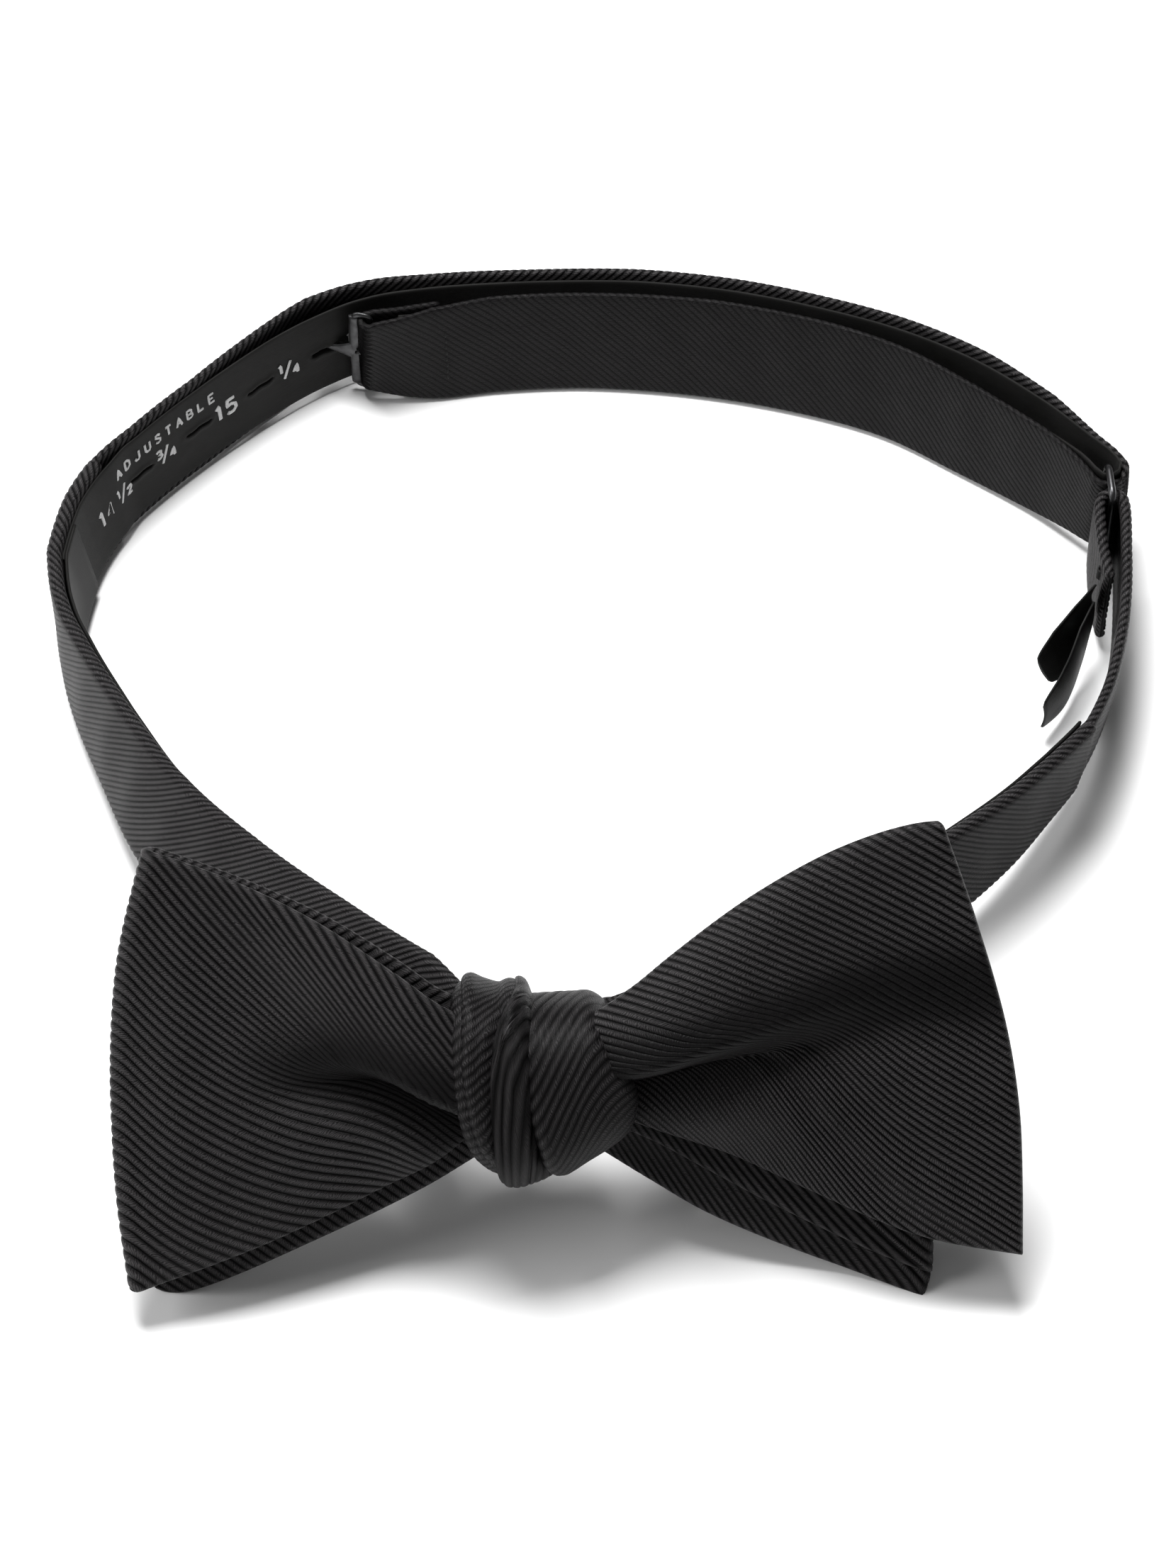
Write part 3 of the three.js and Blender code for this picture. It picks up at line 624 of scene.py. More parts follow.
class Shading:
    """A procedural material, with a short call for each kind of node it is made of."""

    def __init__(self, name, **sockets):
        self.material = bpy.data.materials.new(name)
        self.material.use_nodes = True
        self.nodes, self.links = self.material.node_tree.nodes, self.material.node_tree.links
        self.shader = self.nodes["Principled BSDF"]
        for socket, value in sockets.items():
            self.shader.inputs[socket.replace("_", " ")].default_value = value

    def node(self, kind, inputs, **settings):
        """A new node. Each input, by name or number, is a plain value or the output of another node."""
        node = self.nodes.new("ShaderNode" + kind)
        for name, value in settings.items():
            setattr(node, name, value)
        for socket, value in inputs.items():
            if isinstance(value, bpy.types.NodeSocket):
                self.links.new(value, node.inputs[socket])
            else:
                node.inputs[socket].default_value = value
        return node

    def drive(self, socket, output):
        self.links.new(output, self.shader.inputs[socket])

    def math(self, operation, *values):
        return self.node("Math", dict(enumerate(values)), operation=operation).outputs[0]

    def cloth(self):
        """The cloth attribute, then its parts: along, across and rise, which also carries painted highlight
        and shade.
        """
        vector = self.node("Attribute", {}, attribute_name="cloth").outputs["Vector"]
        return (vector, *self.node("SeparateXYZ", {0: vector}).outputs)

    def noise(self, vector, scale, detail=2.0, stretch=None):
        if stretch:
            vector = self.node("VectorMath", {0: vector, 1: stretch}, operation="MULTIPLY").outputs[0]
        return self.node("TexNoise", {"Vector": vector, "Scale": scale, "Detail": detail}).outputs["Fac"]

    def ramp(self, socket, factor, *stops):
        """Drives a socket of the shader by colours or greys at stops along a factor."""
        node = self.node("ValToRGB", {"Fac": factor})
        band = node.color_ramp
        while len(band.elements) < len(stops):
            band.elements.new(0.5)
        for element, (at, colour) in zip(band.elements, stops):
            element.position = at
            element.color = (*colour, 1) if isinstance(colour, tuple) else (colour, colour, colour, 1)
        self.drive(socket, node.outputs["Color"])

    def bump(self, height, distance, strength):
        node = self.node("Bump", {"Height": height, "Distance": distance, "Strength": strength})
        self.drive("Normal", node.outputs["Normal"])


def ribbed_silk():
    """Black ribbed silk: twisted threads over each rib, a painted highlight on each rib's crest and painted
    shade in its valleys, uneven gloss.
    """
    m = Shading("ribbed_silk", Specular_IOR_Level=0.08)
    vector, along, _, rise = m.cloth()
    wander = m.noise(vector, 1.0, stretch=(0.9, 0.9, 0))
    turned = m.math("MULTIPLY_ADD", along, 21.0, m.math("MULTIPLY", wander, 26.0))
    slant = m.math("MULTIPLY_ADD", rise, 1.6, turned)
    twist = m.math("MULTIPLY_ADD", m.math("SINE", slant), 0.5, 0.5)
    fibre = m.noise(vector, 1.6, 3.0, (3.0, 9.0, 1))
    blotch = m.noise(vector, 1.0, 3.0, (0.22, 0.22, 0))
    m.bump(m.math("MULTIPLY_ADD", twist, 0.6, fibre), 0.00005, 0.7)
    # Painted highlight and shade: the base colour runs from near black in the rib valleys to pale on the
    # crests, following each rib's rise.
    ridge = m.math("POWER", rise, 2.4)
    lit = m.math("MULTIPLY", ridge, m.math("MULTIPLY_ADD", twist, 0.5, 0.5))
    lit = m.math("MULTIPLY_ADD", blotch, 0.2, lit)
    valley, flank, crest = (0.0009, 0.0008, 0.0009), (0.0075, 0.007, 0.0073), (0.046, 0.0435, 0.0448)
    m.ramp("Base Color", lit, (0.05, valley), (0.5, flank), (1.0, crest))
    m.ramp("Roughness", fibre, (0.25, 0.34), (0.75, 0.56))
    return m.material


def woven(name, low, high, rough, specular):
    """A smooth cloth of fine crossing threads, such as a lining or a satin ribbon."""
    m = Shading(name, Roughness=rough, Specular_IOR_Level=specular)
    vector, along, across, rise = m.cloth()
    thread = 2 * math.pi * 3.2
    weft, warp = (m.math("SINE", m.math("MULTIPLY", way, thread)) for way in (along, across))
    weave = m.math("MULTIPLY_ADD", m.math("MULTIPLY", weft, warp), 0.5, 0.5)
    fibre = m.noise(vector, 1.4, 3.0, (0.6, 6.0, 1))
    blotch = m.noise(vector, 1.0, 2.0, (0.16, 0.3, 0))
    m.bump(m.math("MULTIPLY_ADD", weave, 0.7, fibre), 0.00003, 0.5)
    tone = m.math("MULTIPLY_ADD", blotch, 0.6, m.math("MULTIPLY", fibre, 0.5))
    # The cloth's third value scales the tone; on the ribbon it paints the slits' shade.
    m.ramp("Base Color", m.math("MULTIPLY", tone, rise), (0.0, 0.0006), (0.25, low), (0.85, high))
    return m.material


def metal(name, low, high, rough):
    """Worn plated wire: slightly uneven tone and polish."""
    m = Shading(name, Metallic=1.0)
    coordinates = m.node("TexCoord", {}).outputs["Object"]
    wear_and_shade = m.noise(coordinates, 900.0, 4.0)
    m.ramp("Base Color", wear_and_shade, (0.3, low), (0.75, high))
    m.ramp("Roughness", wear_and_shade, (0.2, rough + 0.1), (0.8, rough - 0.06))
    m.bump(m.noise(coordinates, 2500.0), 0.00002, 0.4)
    return m.material


def woven_white():
    """Pale woven marks: slanting float threads with dark gaps."""
    m = Shading("woven_marks", Roughness=0.55, Sheen_Weight=0.2)
    vector, along, across, _ = m.cloth()
    slant = m.math("ADD", along, m.math("MULTIPLY", across, 0.9))
    float_thread = m.math("SINE", m.math("MULTIPLY", slant, 2 * math.pi / 0.42))
    tone = m.math("MULTIPLY_ADD", float_thread, 0.5, 0.5)
    tone = m.math("MULTIPLY_ADD", m.noise(vector, 3.0), 0.3, tone)
    m.ramp("Base Color", tone, (0.1, 0.1), (0.4, 0.5), (1.0, 0.78))
    m.bump(tone, 0.00005, 0.6)
    return m.material


silk = ribbed_silk()
lining = woven("band_lining", (0.0065, 0.0063, 0.0061), (0.013, 0.0126, 0.0122), 0.55, 0.1)
satin = woven("satin_ribbon", (0.009, 0.0089, 0.0085), (0.017, 0.0167, 0.0163), 0.5, 0.05)
label_satin = woven("satin_label", (0.009, 0.009, 0.009), (0.02, 0.0198, 0.0194), 0.36, 0.07)
thread_material = woven("thread", (0.012, 0.012, 0.012), (0.026, 0.026, 0.026), 0.6, 0.1)
mark_material = woven_white()
ring_metal = metal("ring_steel", (0.055, 0.055, 0.057), (0.1, 0.1, 0.103), 0.34)
hook_metal = metal("hook_metal", (0.04, 0.04, 0.041), (0.07, 0.07, 0.072), 0.42)

# ---------------------------------------------------------------- the neckband

lining_from = strap_path.length(2.5)
lining_to = keeper_path.length(keeper_path.last - 2.5)
strap_from = BAND_ENDS - STRAP_OVERLAP
keeper_to = KEEPER_ENDS + KEEPER_OVERLAP
silk_tube("left_band_silk", "left_band", strap_path, 0, BAND_ENDS, *BAND_FACES)
lining_strip("left_lining", "left_band_lining", strap_path, lining_from, BAND_ENDS - 10)
silk_tube("strap_outer_run", "adjuster_strap", strap_path, strap_from, RING_AT, *STRAP_FACES)
silk_tube("strap_return_run", "adjuster_strap", strap_path, RING_AT, STRAP_ENDS, *STRAP_FACES,
          RETURN_RIB, True)
silk_tube("keeper_silk", "keeper_strap", keeper_path, 0, keeper_to, *KEEPER_FACES, flip=True)
silk_tube("right_band_silk", "right_band", keeper_path, KEEPER_ENDS, RIGHT_ENDS, *BAND_FACES, flip=True)
lining_strip("right_lining", "right_band_lining", keeper_path, KEEPER_ENDS, lining_to)


# ---------------------------------------------------------------- the bow

LOOP_HALF = 1.0  # half the gap between the middles of a loop's two leaves


def inside_edges(upper, lower, step=0.5):
    """Distance inside an upper and a lower edge v = edge(u), allowing for their slopes."""
    def gap(curve, u, v, side):
        tilt = (curve(u + step) - curve(u - step)) / (2 * step)
        return side * (v - curve(u)) / np.sqrt(1 + tilt**2)
    return lambda u, v: np.minimum(gap(upper, u, v, -1), gap(lower, u, v, 1))


def bank(v, line, width):
    """0 below a line across the cloth, 1 above it, with a steep step between."""
    return smooth(v - line, -width, width)


def pleated(upper, lower, valley, near, wide, step, lobe, up_roll, low_roll, belly):
    """The height of a gathered wing over its plane.

    It steps up across its valley, with a lobe (height, distance below, width) under it, rolls back at both
    edges by (depth, width), and swells towards its free side. near(u) grows from 0 at that side to 1 at the
    knot, and wide(near) is half the width of the step.
    """
    def relief(u, v):
        close, line, high, low = near(u), valley(u), upper(u), lower(u)
        rise = step * close**1.1 * bank(v, line, wide(close))
        swell = lobe[0] * close * bell(v - line + lobe[1], lobe[2])
        up_back = up_roll[0] * close * np.exp(-np.maximum(high - v, 0) / up_roll[1])
        low_back = low_roll[0] * close * np.exp(-np.maximum(v - low, 0) / low_roll[1])
        crown = belly * np.sin(math.pi * np.clip((v - low) / (high - low), 0, 1)) * (1 - close)
        return rise + swell + crown - up_back - low_back
    return relief


def pleat_density(relief, valley, hidden_at, spread, tight):
    """The cloth in each millimetre of height: more on a slope, and more hidden in the valley's pleat."""
    def density(u, v):
        slope = (relief(u, v + 0.1) - relief(u, v - 0.1)) / 0.2
        wide = spread(u)
        hidden = hidden_at(u) * bell(v - valley(u), wide) / (wide * math.sqrt(math.pi))
        return (np.sqrt(1 + slope**2) + hidden) * tight(u)
    return density


def left_wing():
    """The front left loop: ribs fall to the right, and a deep valley runs in to the knot."""
    upper = curve_of([
        (-62, 67), (-55.9, 65.4), (-45.3, 61.3), (-34.2, 55.8), (-24.8, 49.6), (-17.7, 44.6), (-8, 42.5),
    ])
    lower = curve_of([(-62, 3.4), (-59, 5), (-39.9, 12.6), (-25.2, 20), (-16, 26), (-13, 28), (-8, 29.5)])
    side = curve_of([
        (-5, -58.0), (5, -59.2), (17.1, -60.5), (27, -60.9), (38.5, -60.8), (51, -59.6), (65, -56.2),
        (75, -53.5),
    ])
    valley = curve_of([(-62, 36.2), (-50, 36.3), (-39.6, 36.4), (-28.7, 36.6), (-17.8, 31.6), (-8, 28)])
    hidden_at = curve_of([(-63, 0), (-50, 0.2), (-40, 1.4), (-30, 4.2), (-20, 7.6), (-15, 9.4), (-8, 12)])
    relief = pleated(
        upper, lower, valley, lambda u: smooth(u, -50, -19), lambda near: (7.5 - 5.2 * near) * 0.58,
        step=7.4, lobe=(2.6, 8.5, 6.0), up_roll=(3.2, 4), low_roll=(1.6, 4), belly=1.3,
    )
    density = pleat_density(
        relief, valley, hidden_at,
        spread=lambda u: 7.5 - 6.0 * smooth(u, -48, -18),
        tight=lambda u: 1 + 0.2 * smooth(u, -58, -25),
    )
    within = inside_edges(upper, lower)

    def base(u):
        return 1.0 + 1.6 * smooth(-u, 20, 60) - 1.2 * smooth(u, -24, -12)

    def slope(u):
        return np.interp(u, [-61, -50, -42, -32, -20, -10], [0.95, 1.0, 1.1, 1.3, 1.55, 1.6])

    columns = np.arange(-61.4, -10, COLUMN_STEP)
    table = rib_table(columns, -25, 110, density, slope, 66.0, LEFT_PITCH, (-45, 110))
    # Back leaf: the same ribs turn round the fold and rise to the right.
    fold_at = side(table[:, 0])
    for _ in range(4):
        at_fold = np.array([np.interp(x, columns, row) for x, row in zip(fold_at, table)])
        fold_at = side(at_fold)
    out = np.arange(-50, 50.1, COLUMN_STEP)
    full = np.empty((len(table), len(out)))
    for r, row in enumerate(table):
        u = fold_at[r] + np.maximum(out, 0)
        full[r] = np.where(out >= 0, np.interp(u, columns, row), at_fold[r] + 0.62 * np.maximum(-out, 0))

    def u_of(p, v):
        return side(v) + np.abs(p)

    def free(p, v):
        return within(u_of(p, v), v)

    def shut(p, v):
        return -12.0 - u_of(p, v)

    def surface(p, v):
        u = u_of(p, v)
        turn = round_off(np.abs(p) / 1.1)
        front = (LOOP_HALF + relief(u, v) * smooth(p, 0, 9)) * turn
        back = -LOOP_HALF * turn * (1 - 0.3 * smooth(-p, 20, 45))
        return bow_point(u, v, base(u) + np.where(p > 0, front, back))

    # Painted shadow: the ribs just above the valley, under the upper bank, are coloured darker.
    def painted_shade(p, v):
        u = u_of(p, v)
        valley_shadow = np.exp(-((v - valley(u) - 1.0) / 4.5) ** 2)
        return 0.45 * smooth(u, -47, -30) * valley_shadow * (p > 0)

    made = leaf("front_left_loop_silk", "front_left_loop", out, full, free, shut, surface, 1.1,
                pitch=LEFT_PITCH, painted_shade=painted_shade)


def right_wing():
    """The front right end: ribs nearly level above its valley, and falling steeply below it."""
    upper = curve_of([
        (-8, 42), (0, 44), (5, 47.6), (10.2, 52.3), (20, 59.8), (30.7, 65.7), (40.5, 68.8), (47, 69.2),
    ])
    lower = curve_of([(-8, 29), (0, 28.6), (5.8, 27.7), (14.9, 24.4), (28.6, 18.1), (42.4, 12.6), (58, 9.6)])
    side = curve_of([
        (0, 56), (10.7, 55.6), (20, 55.3), (30.8, 54.6), (42.4, 52.6), (56.7, 48.4), (68.1, 44.4), (75, 42),
    ])
    valley = curve_of([(-8, 33.5), (5.3, 35.8), (14, 38.6), (23.9, 41.2), (33, 43.2), (41.9, 44.4), (60, 45)])
    hidden_at = curve_of([(-8, 23), (5, 17), (14, 12.0), (25, 6.2), (40, 1.0), (50, 0.2), (60, 0), (66, 0)])
    relief = pleated(
        upper, lower, valley, lambda u: 1 - smooth(u, 8, 50), lambda near: 2.2 + 2.4 * (1 - near),
        step=8.2, lobe=(2.4, 9, 6.5), up_roll=(3.6, 4.5), low_roll=(2.2, 4), belly=1.5,
    )
    density = pleat_density(
        relief, valley, hidden_at,
        spread=lambda u: 11.0 - 9.2 * (1 - smooth(u, 6, 46)),
        tight=lambda u: 1 + 0.2 * (1 - smooth(u, 6, 40)),
    )
    within = inside_edges(upper, lower)

    def base(u):
        return 0.8 + 1.8 * smooth(u, 8, 50) - 1.0 * smooth(-u, -10, 0)

    def slope(u):
        return np.interp(u, [-5, 8, 20, 35, 50, 56], [0.1, 0.2, 0.33, 0.5, 0.64, 0.7])

    columns = np.arange(-6, 57.5, COLUMN_STEP)
    table = rib_table(columns, -20, 90, density, slope, 69.0, WING_PITCH, (-40, 130))

    def free(u, v):
        return np.minimum(within(u, v), side(v) - u)

    def shut(u, v):
        return u - 0.5

    def surface(u, v):
        return bow_point(u, v, base(u) + relief(u, v))

    # Painted shadow: the ribs a little above the valley, under the overhanging step, are coloured darker.
    def painted_shade(u, v):
        valley_shadow = np.exp(-((v - valley(u) - 3.0) / (3.0 + 1.5 * smooth(u, 10, 40))) ** 2)
        return 0.45 * (1 - smooth(u, 48, 60)) * valley_shadow

    made = leaf("front_right_end_silk", "front_right_end", columns, table, free, shut, surface, 1.5, painted_shade=painted_shade)


def back_right():
    """The back right loop, whose back leaf hangs lower than its front one."""
    upper = curve_of([(-8, 42), (0, 42.5), (6, 44.5), (14, 48), (25, 53), (37, 58), (46, 61)])
    front_lower = curve_of([
        (-8, 27.5), (0, 27), (6.8, 24.6), (15, 20), (23.4, 15.2), (34, 9.8), (44, 5.4), (50, 3),
    ])
    back_lower = curve_of([(-8, 26.5), (-1, 23.4), (7, 18.2), (15.1, 13), (29, 6.6), (42, 2.0), (50, 0)])
    side = curve_of([(-5, 42.2), (2.1, 43.4), (4.5, 44.0), (10.6, 44.2), (25, 43.4), (40, 40.8), (58, 37)])
    pitch = WING_PITCH * 1.4
    columns = np.arange(0, 45.1, COLUMN_STEP)
    start = rib_set(-60, 75)[0] * WING_PITCH * 1.4

    def half_of(name, lower, slant, n_side, drop):
        within = inside_edges(upper, lower)
        table = start[:, None] + slant * columns + 0.012 * columns**2

        def free(p, v):
            return np.minimum(within(side(v) - p, v), p)

        def shut(p, v):
            return side(v) - p - 0.5

        def surface(p, v):
            u = side(v) - p
            turn = 0.35 + 0.65 * round_off(p / 5)
            spread = 0.9 + drop * smooth(30 - v, 0, 25) * smooth(p, 0, 12)
            wave = 0.45 * np.sin(u / 9 + v / 14) * smooth(p, 2, 14)
            return bow_point(u, v, -2.9 + n_side * spread * turn + wave)

        made = leaf(name, "back_right_loop", columns, table, free, shut, surface, 1.0, count=40, pitch=pitch)

    half_of("back_right_loop_front_leaf", front_lower, 0.85, 1, 0.5)
    half_of("back_right_loop_back_leaf", back_lower, 0.95, -1, 0.9)


def back_left():
    """The back left end, a flat end behind the front loop."""
    upper = curve_of([(-60, 61), (-52, 59), (-41, 55), (-30, 49.5), (-20, 44.5), (-14, 42.5), (-6, 42)])
    lower = curve_of([
        (-60, 3.6), (-57.3, 2.6), (-53.6, 2.2), (-35.6, 10.1), (-21.7, 17.2), (-14.3, 22.0), (-6, 27),
    ])
    side = curve_of([(-5, -58.2), (3.1, -57.4), (20, -57.8), (40, -56.0), (59, -52.2), (70, -50)])
    within = inside_edges(upper, lower)
    columns = np.arange(-59.5, -9, COLUMN_STEP)
    start = rib_set(-50, 110)[0] * WING_PITCH * 1.2
    table = start[:, None] - 0.75 * (columns - columns[0])

    def free(u, v):
        return np.minimum(within(u, v), u - side(v))

    def shut(u, v):
        return -12.0 - u

    def surface(u, v):
        droop = 0.7 * smooth(-u, 20, 50)
        return bow_point(u, v, -2.6 - droop + 0.45 * np.sin(u / 8 + v / 17))

    made = leaf("back_left_end_silk", "back_left_end", columns, table, free, shut, surface, 1.3,
                pitch=WING_PITCH * 1.2)


left_wing()
right_wing()
back_right()
back_left()

# ---------------------------------------------------------------- the knot

KNOT_TURN = 11.6  # millimetres round the knot to a radian
KNOT_AROUND = 2 * math.pi * KNOT_TURN
KNOT_SEAM = 2.0  # how far the ends of the wrapped cloth pass each other at the back
FRONT = KNOT_AROUND / 2  # distance from the seam to the middle of the front
KNOT_STEP = 0.7
KNOT_PITCH = 1.1
KNOT_DEEP = 9.4
KNOT_SQUARE = 2.5  # power of the superellipse that the knot's girth follows
# Painted shade spread evenly over the knot: its ribs are coloured darker than the wings' ribs.
KNOT_PAINTED_SHADE = 0.12
FAR = 50.0

LEFT_TURNS = (
    curve_of([(-19, 46.4), (-16.5, 46.6), (-14.3, 45.6), (-11.8, 45.0), (-10.4, 45.9), (-9.2, 45.8),
              (-8.2, 44.2), (-6, 43.4), (-2, 43.4)]),
    curve_of([(-19, 22.6), (-16, 22.0), (-13.4, 21.6), (-9.8, 20.8), (-7.4, 21.4), (-4, 22.2), (0, 23)]),
)
RIGHT_TURNS = (
    curve_of([(-11, 43.6), (-9, 43.5), (-5.5, 43.5), (-2.5, 43.8), (-0.5, 44.0), (0.8, 43.5), (2.4, 42.2),
              (3.6, 40.8), (5.0, 39.0), (6.2, 37.6)]),
    curve_of([(-11, 21.4), (-7.4, 21.6), (-4.5, 22.4), (-2.9, 23.1), (-0.5, 24.5), (2.0, 25.8), (4.2, 26.6),
              (5.2, 27.2), (6.2, 28.0)]),
)


def knot_patch(name, left, right, turns, out, slant, spacing, hidden):
    """One panel of the wrapped cloth.

    left and right are its edges as functions of the distance p up the knot's front from its middle. turns are
    the heights where the knot turns back above and below, out(p, u) is how far the panel stands out, and
    slant(p, u) is how steeply its ribs climb. A hidden panel's right edge lies under the next one.
    """
    columns = np.arange(0, KNOT_AROUND + KNOT_SEAM, KNOT_STEP)
    start = rib_set(-40, 40)[0] * spacing - 6
    table = np.empty((len(start), len(columns)))
    middle = int(np.argmin(np.abs(columns - FRONT)))
    table[:, middle] = start
    for way in (1, -1):
        c = middle
        while 0 <= c + way < len(columns):
            table[:, c + way] = table[:, c] + way * KNOT_STEP * slant(columns[c] - FRONT, table[:, c])
            c += way
    table = np.maximum.accumulate(table, axis=0)

    def free(p, u):
        from_right = FAR if hidden else right(p - FRONT) - u
        return np.minimum(np.minimum(u - left(p - FRONT), from_right), FAR)

    def shut(p, u):
        return np.minimum(u - left(p - FRONT), right(p - FRONT) - u)

    def surface(p, u):
        a = (p - FRONT) / KNOT_TURN
        top, bottom = (turn(u) for turn in turns)
        centre, half = (top + bottom) / 2, (top - bottom) / 2
        deep = KNOT_DEEP * np.clip(half / KNOT_TURN, 0.35, 1.1) ** 0.6
        lift = out(p - FRONT, u) + 0.5 * smooth(p, KNOT_AROUND - 3, KNOT_AROUND)
        ca, sa = np.cos(a), np.sin(a)
        flat = (np.abs(ca) ** KNOT_SQUARE + np.abs(sa) ** KNOT_SQUARE) ** (-1 / KNOT_SQUARE)
        return bow_point(u, centre + (half + lift) * sa * flat, 0.4 + (deep + lift) * ca * flat)

    # The last argument paints an even shade over the knot's ribs.
    made = leaf(name, "knot_wrap", columns, table, free, shut, surface, 1.5, KNOT_RIB, 88, KNOT_PITCH,
                lambda p, u: KNOT_PAINTED_SHADE)
    wide = 1.3 * float(np.mean(right(columns - FRONT) - left(columns - FRONT)))


def line_of(*points):
    """Left or right edge of a panel: u at each distance up the knot's front from its middle."""
    curve = curve_of(points)
    first, final = points[0], points[-1]
    return lambda p: np.where(p < first[0], first[1], np.where(p > final[0], final[1], curve(p)))


edge_outer = line_of(
    (-30, -9), (-17, -10.5), (-12, -13.6), (-6, -16.2), (0, -17.3), (8, -17.7), (16, -17.8), (30, -16),
)
edge_left = line_of(
    (-30, -6), (-20, -7.5), (-14, -9.4), (-11, -11.4), (-5.4, -14.5), (2.2, -16.2), (13.5, -16.5),
    (22, -16.5), (32, -14),
)
crease = line_of(
    (-32, -8), (-12, -11.6), (-4, -12.5), (2, -12.8), (8, -12.4), (12, -10.8), (16, -10), (32, -10),
)
lip = line_of(
    (-32, -2), (-16, -4.2), (-11.5, -5.2), (-9.4, -5.9), (-6.2, -6.5), (-1.5, -7.5), (3.5, -8.2), (9.5, -9.0),
    (14, -9.4), (32, -8),
)
edge_right = line_of(
    (-32, 3.5), (-16, 4.2), (-8, 5.2), (-2, 5.6), (3, 5.2), (7, 4.0), (11, 3.0), (15, 2.4), (32, 3),
)


def roll(distance, depth, radius):
    """How far cloth turns in near its edge."""
    return -depth * (1 - round_off(np.maximum(distance, 0) / radius))


def outer_out(p, u):
    return -0.9 + roll(u - edge_outer(p), 1.2, 1.6)


def left_out(p, u):
    return 0.1 + roll(u - edge_left(p), 0.7, 1.2) - 0.7 * smooth(u - crease(p), -1.6, 0.2)


def middle_out(p, u):
    from_lip = u - lip(p)
    bulge = 0.7 * np.exp(-((u + 10.2) / 1.3) ** 2) * smooth(p, 6, 13)
    gap = 1.5 * np.exp(-((from_lip + 0.3) / 1.4) ** 2) * (1 - smooth(p, -3, 3)) * smooth(p, -17, -10)
    under = 0.95 * smooth(from_lip, -1.9, 0.3)
    return 0.3 + roll(u - crease(p), 0.6, 1.1) + bulge - gap - under


def right_out(p, u):
    from_lip = u - lip(p)
    low_lip = 1 - smooth(p, -4, 4)
    stand = 0.75 * low_lip + 0.1
    rolled = roll(from_lip, 0.3 + 1.1 * low_lip, 1.6) + roll(edge_right(p) - u, 2.4, 4.2)
    return stand * np.exp(-from_lip / 6) + rolled


def slant_of(positions, slopes, tilt=0.0, about=0.0):
    """How steeply ribs climb up the knot's front, with tilt more for each millimetre past about."""
    return lambda p, u: np.interp(p, positions, slopes) + tilt * (u - about)


outer_slant = slant_of([0], [0.8])
left_slant = slant_of([-14, -8, -2, 4, 12, 20], [0.3, 0.42, 0.6, 0.8, 0.8, 0.6])
middle_slant = slant_of([-14, -4, 2, 6, 10, 16], [-0.05, 0.0, 0.12, 0.4, 0.6, 0.4], 0.02, -10)
right_slant = slant_of([-14, -6, 0, 8, 14, 20], [0.75, 0.6, 0.55, 0.62, 0.5, 0.4], 0.012, -2)

for name, left, right, turns, out, slant, spacing in (
    ("knot_under_wrap", edge_outer, lambda p: edge_left(p) + 2.5, LEFT_TURNS, outer_out, outer_slant, 1.3),
    ("knot_left_panel", edge_left, lambda p: crease(p) + 1.2, LEFT_TURNS, left_out, left_slant, 1.0),
    ("knot_middle_panel", crease, lambda p: lip(p) + 2.2, LEFT_TURNS, middle_out, middle_slant, 1.05),
    ("knot_right_panel", lip, edge_right, RIGHT_TURNS, right_out, right_slant, 1.3),
):
    knot_patch(name, left, right, turns, out, slant, spacing, hidden=right is not edge_right)

# ---------------------------------------------------------------- ring and hook

RING_RADIUS = 0.52
RING_HIGH, RING_LOW = 18.1, 0.9


def strap_ring():
    """A rounded oblong of round wire."""
    across = np.array(RING_TURN) - np.array(RING_PIVOT)
    length = np.linalg.norm(across)
    flat = rounded_loop(length, RING_HIGH - RING_LOW, 1.5, 9)
    middle = (np.array(RING_TURN) + np.array(RING_PIVOT)) / 2
    z = (RING_HIGH + RING_LOW) / 2
    points = [(*(middle + across / length * x), z + y) for x, y in flat]
    dense = []
    for k, point in enumerate(points):
        way = np.subtract(points[(k + 1) % len(points)], point)
        steps = max(2, int(np.linalg.norm(way) / 1.5))
        dense += [np.add(point, way * t) for t in np.linspace(0, 1, steps)[:-1]]
    shape = tube(dense, RING_RADIUS, closed=True, sides=20, up=(across[1] / length, -across[0] / length, 0))
    piece("strap_ring_wire", shape, ring_metal, "ring", "strap_ring")


HOOK_WAY = math.pi - math.radians(12.7)
HOOK_Z = 8.9
HOOK_FLAT = 0.3  # half the thickness of the hook's flattened wire


def hook_point(out, z, side=0.0):
    """A point of the hook: out from its pivot bar toward the tongue's tip, and side toward the neck."""
    x = HOOK_PIVOT[0] + out * math.cos(HOOK_WAY) - side * math.sin(HOOK_WAY)
    y = HOOK_PIVOT[1] + out * math.sin(HOOK_WAY) + side * math.cos(HOOK_WAY)
    return (x, y, z)


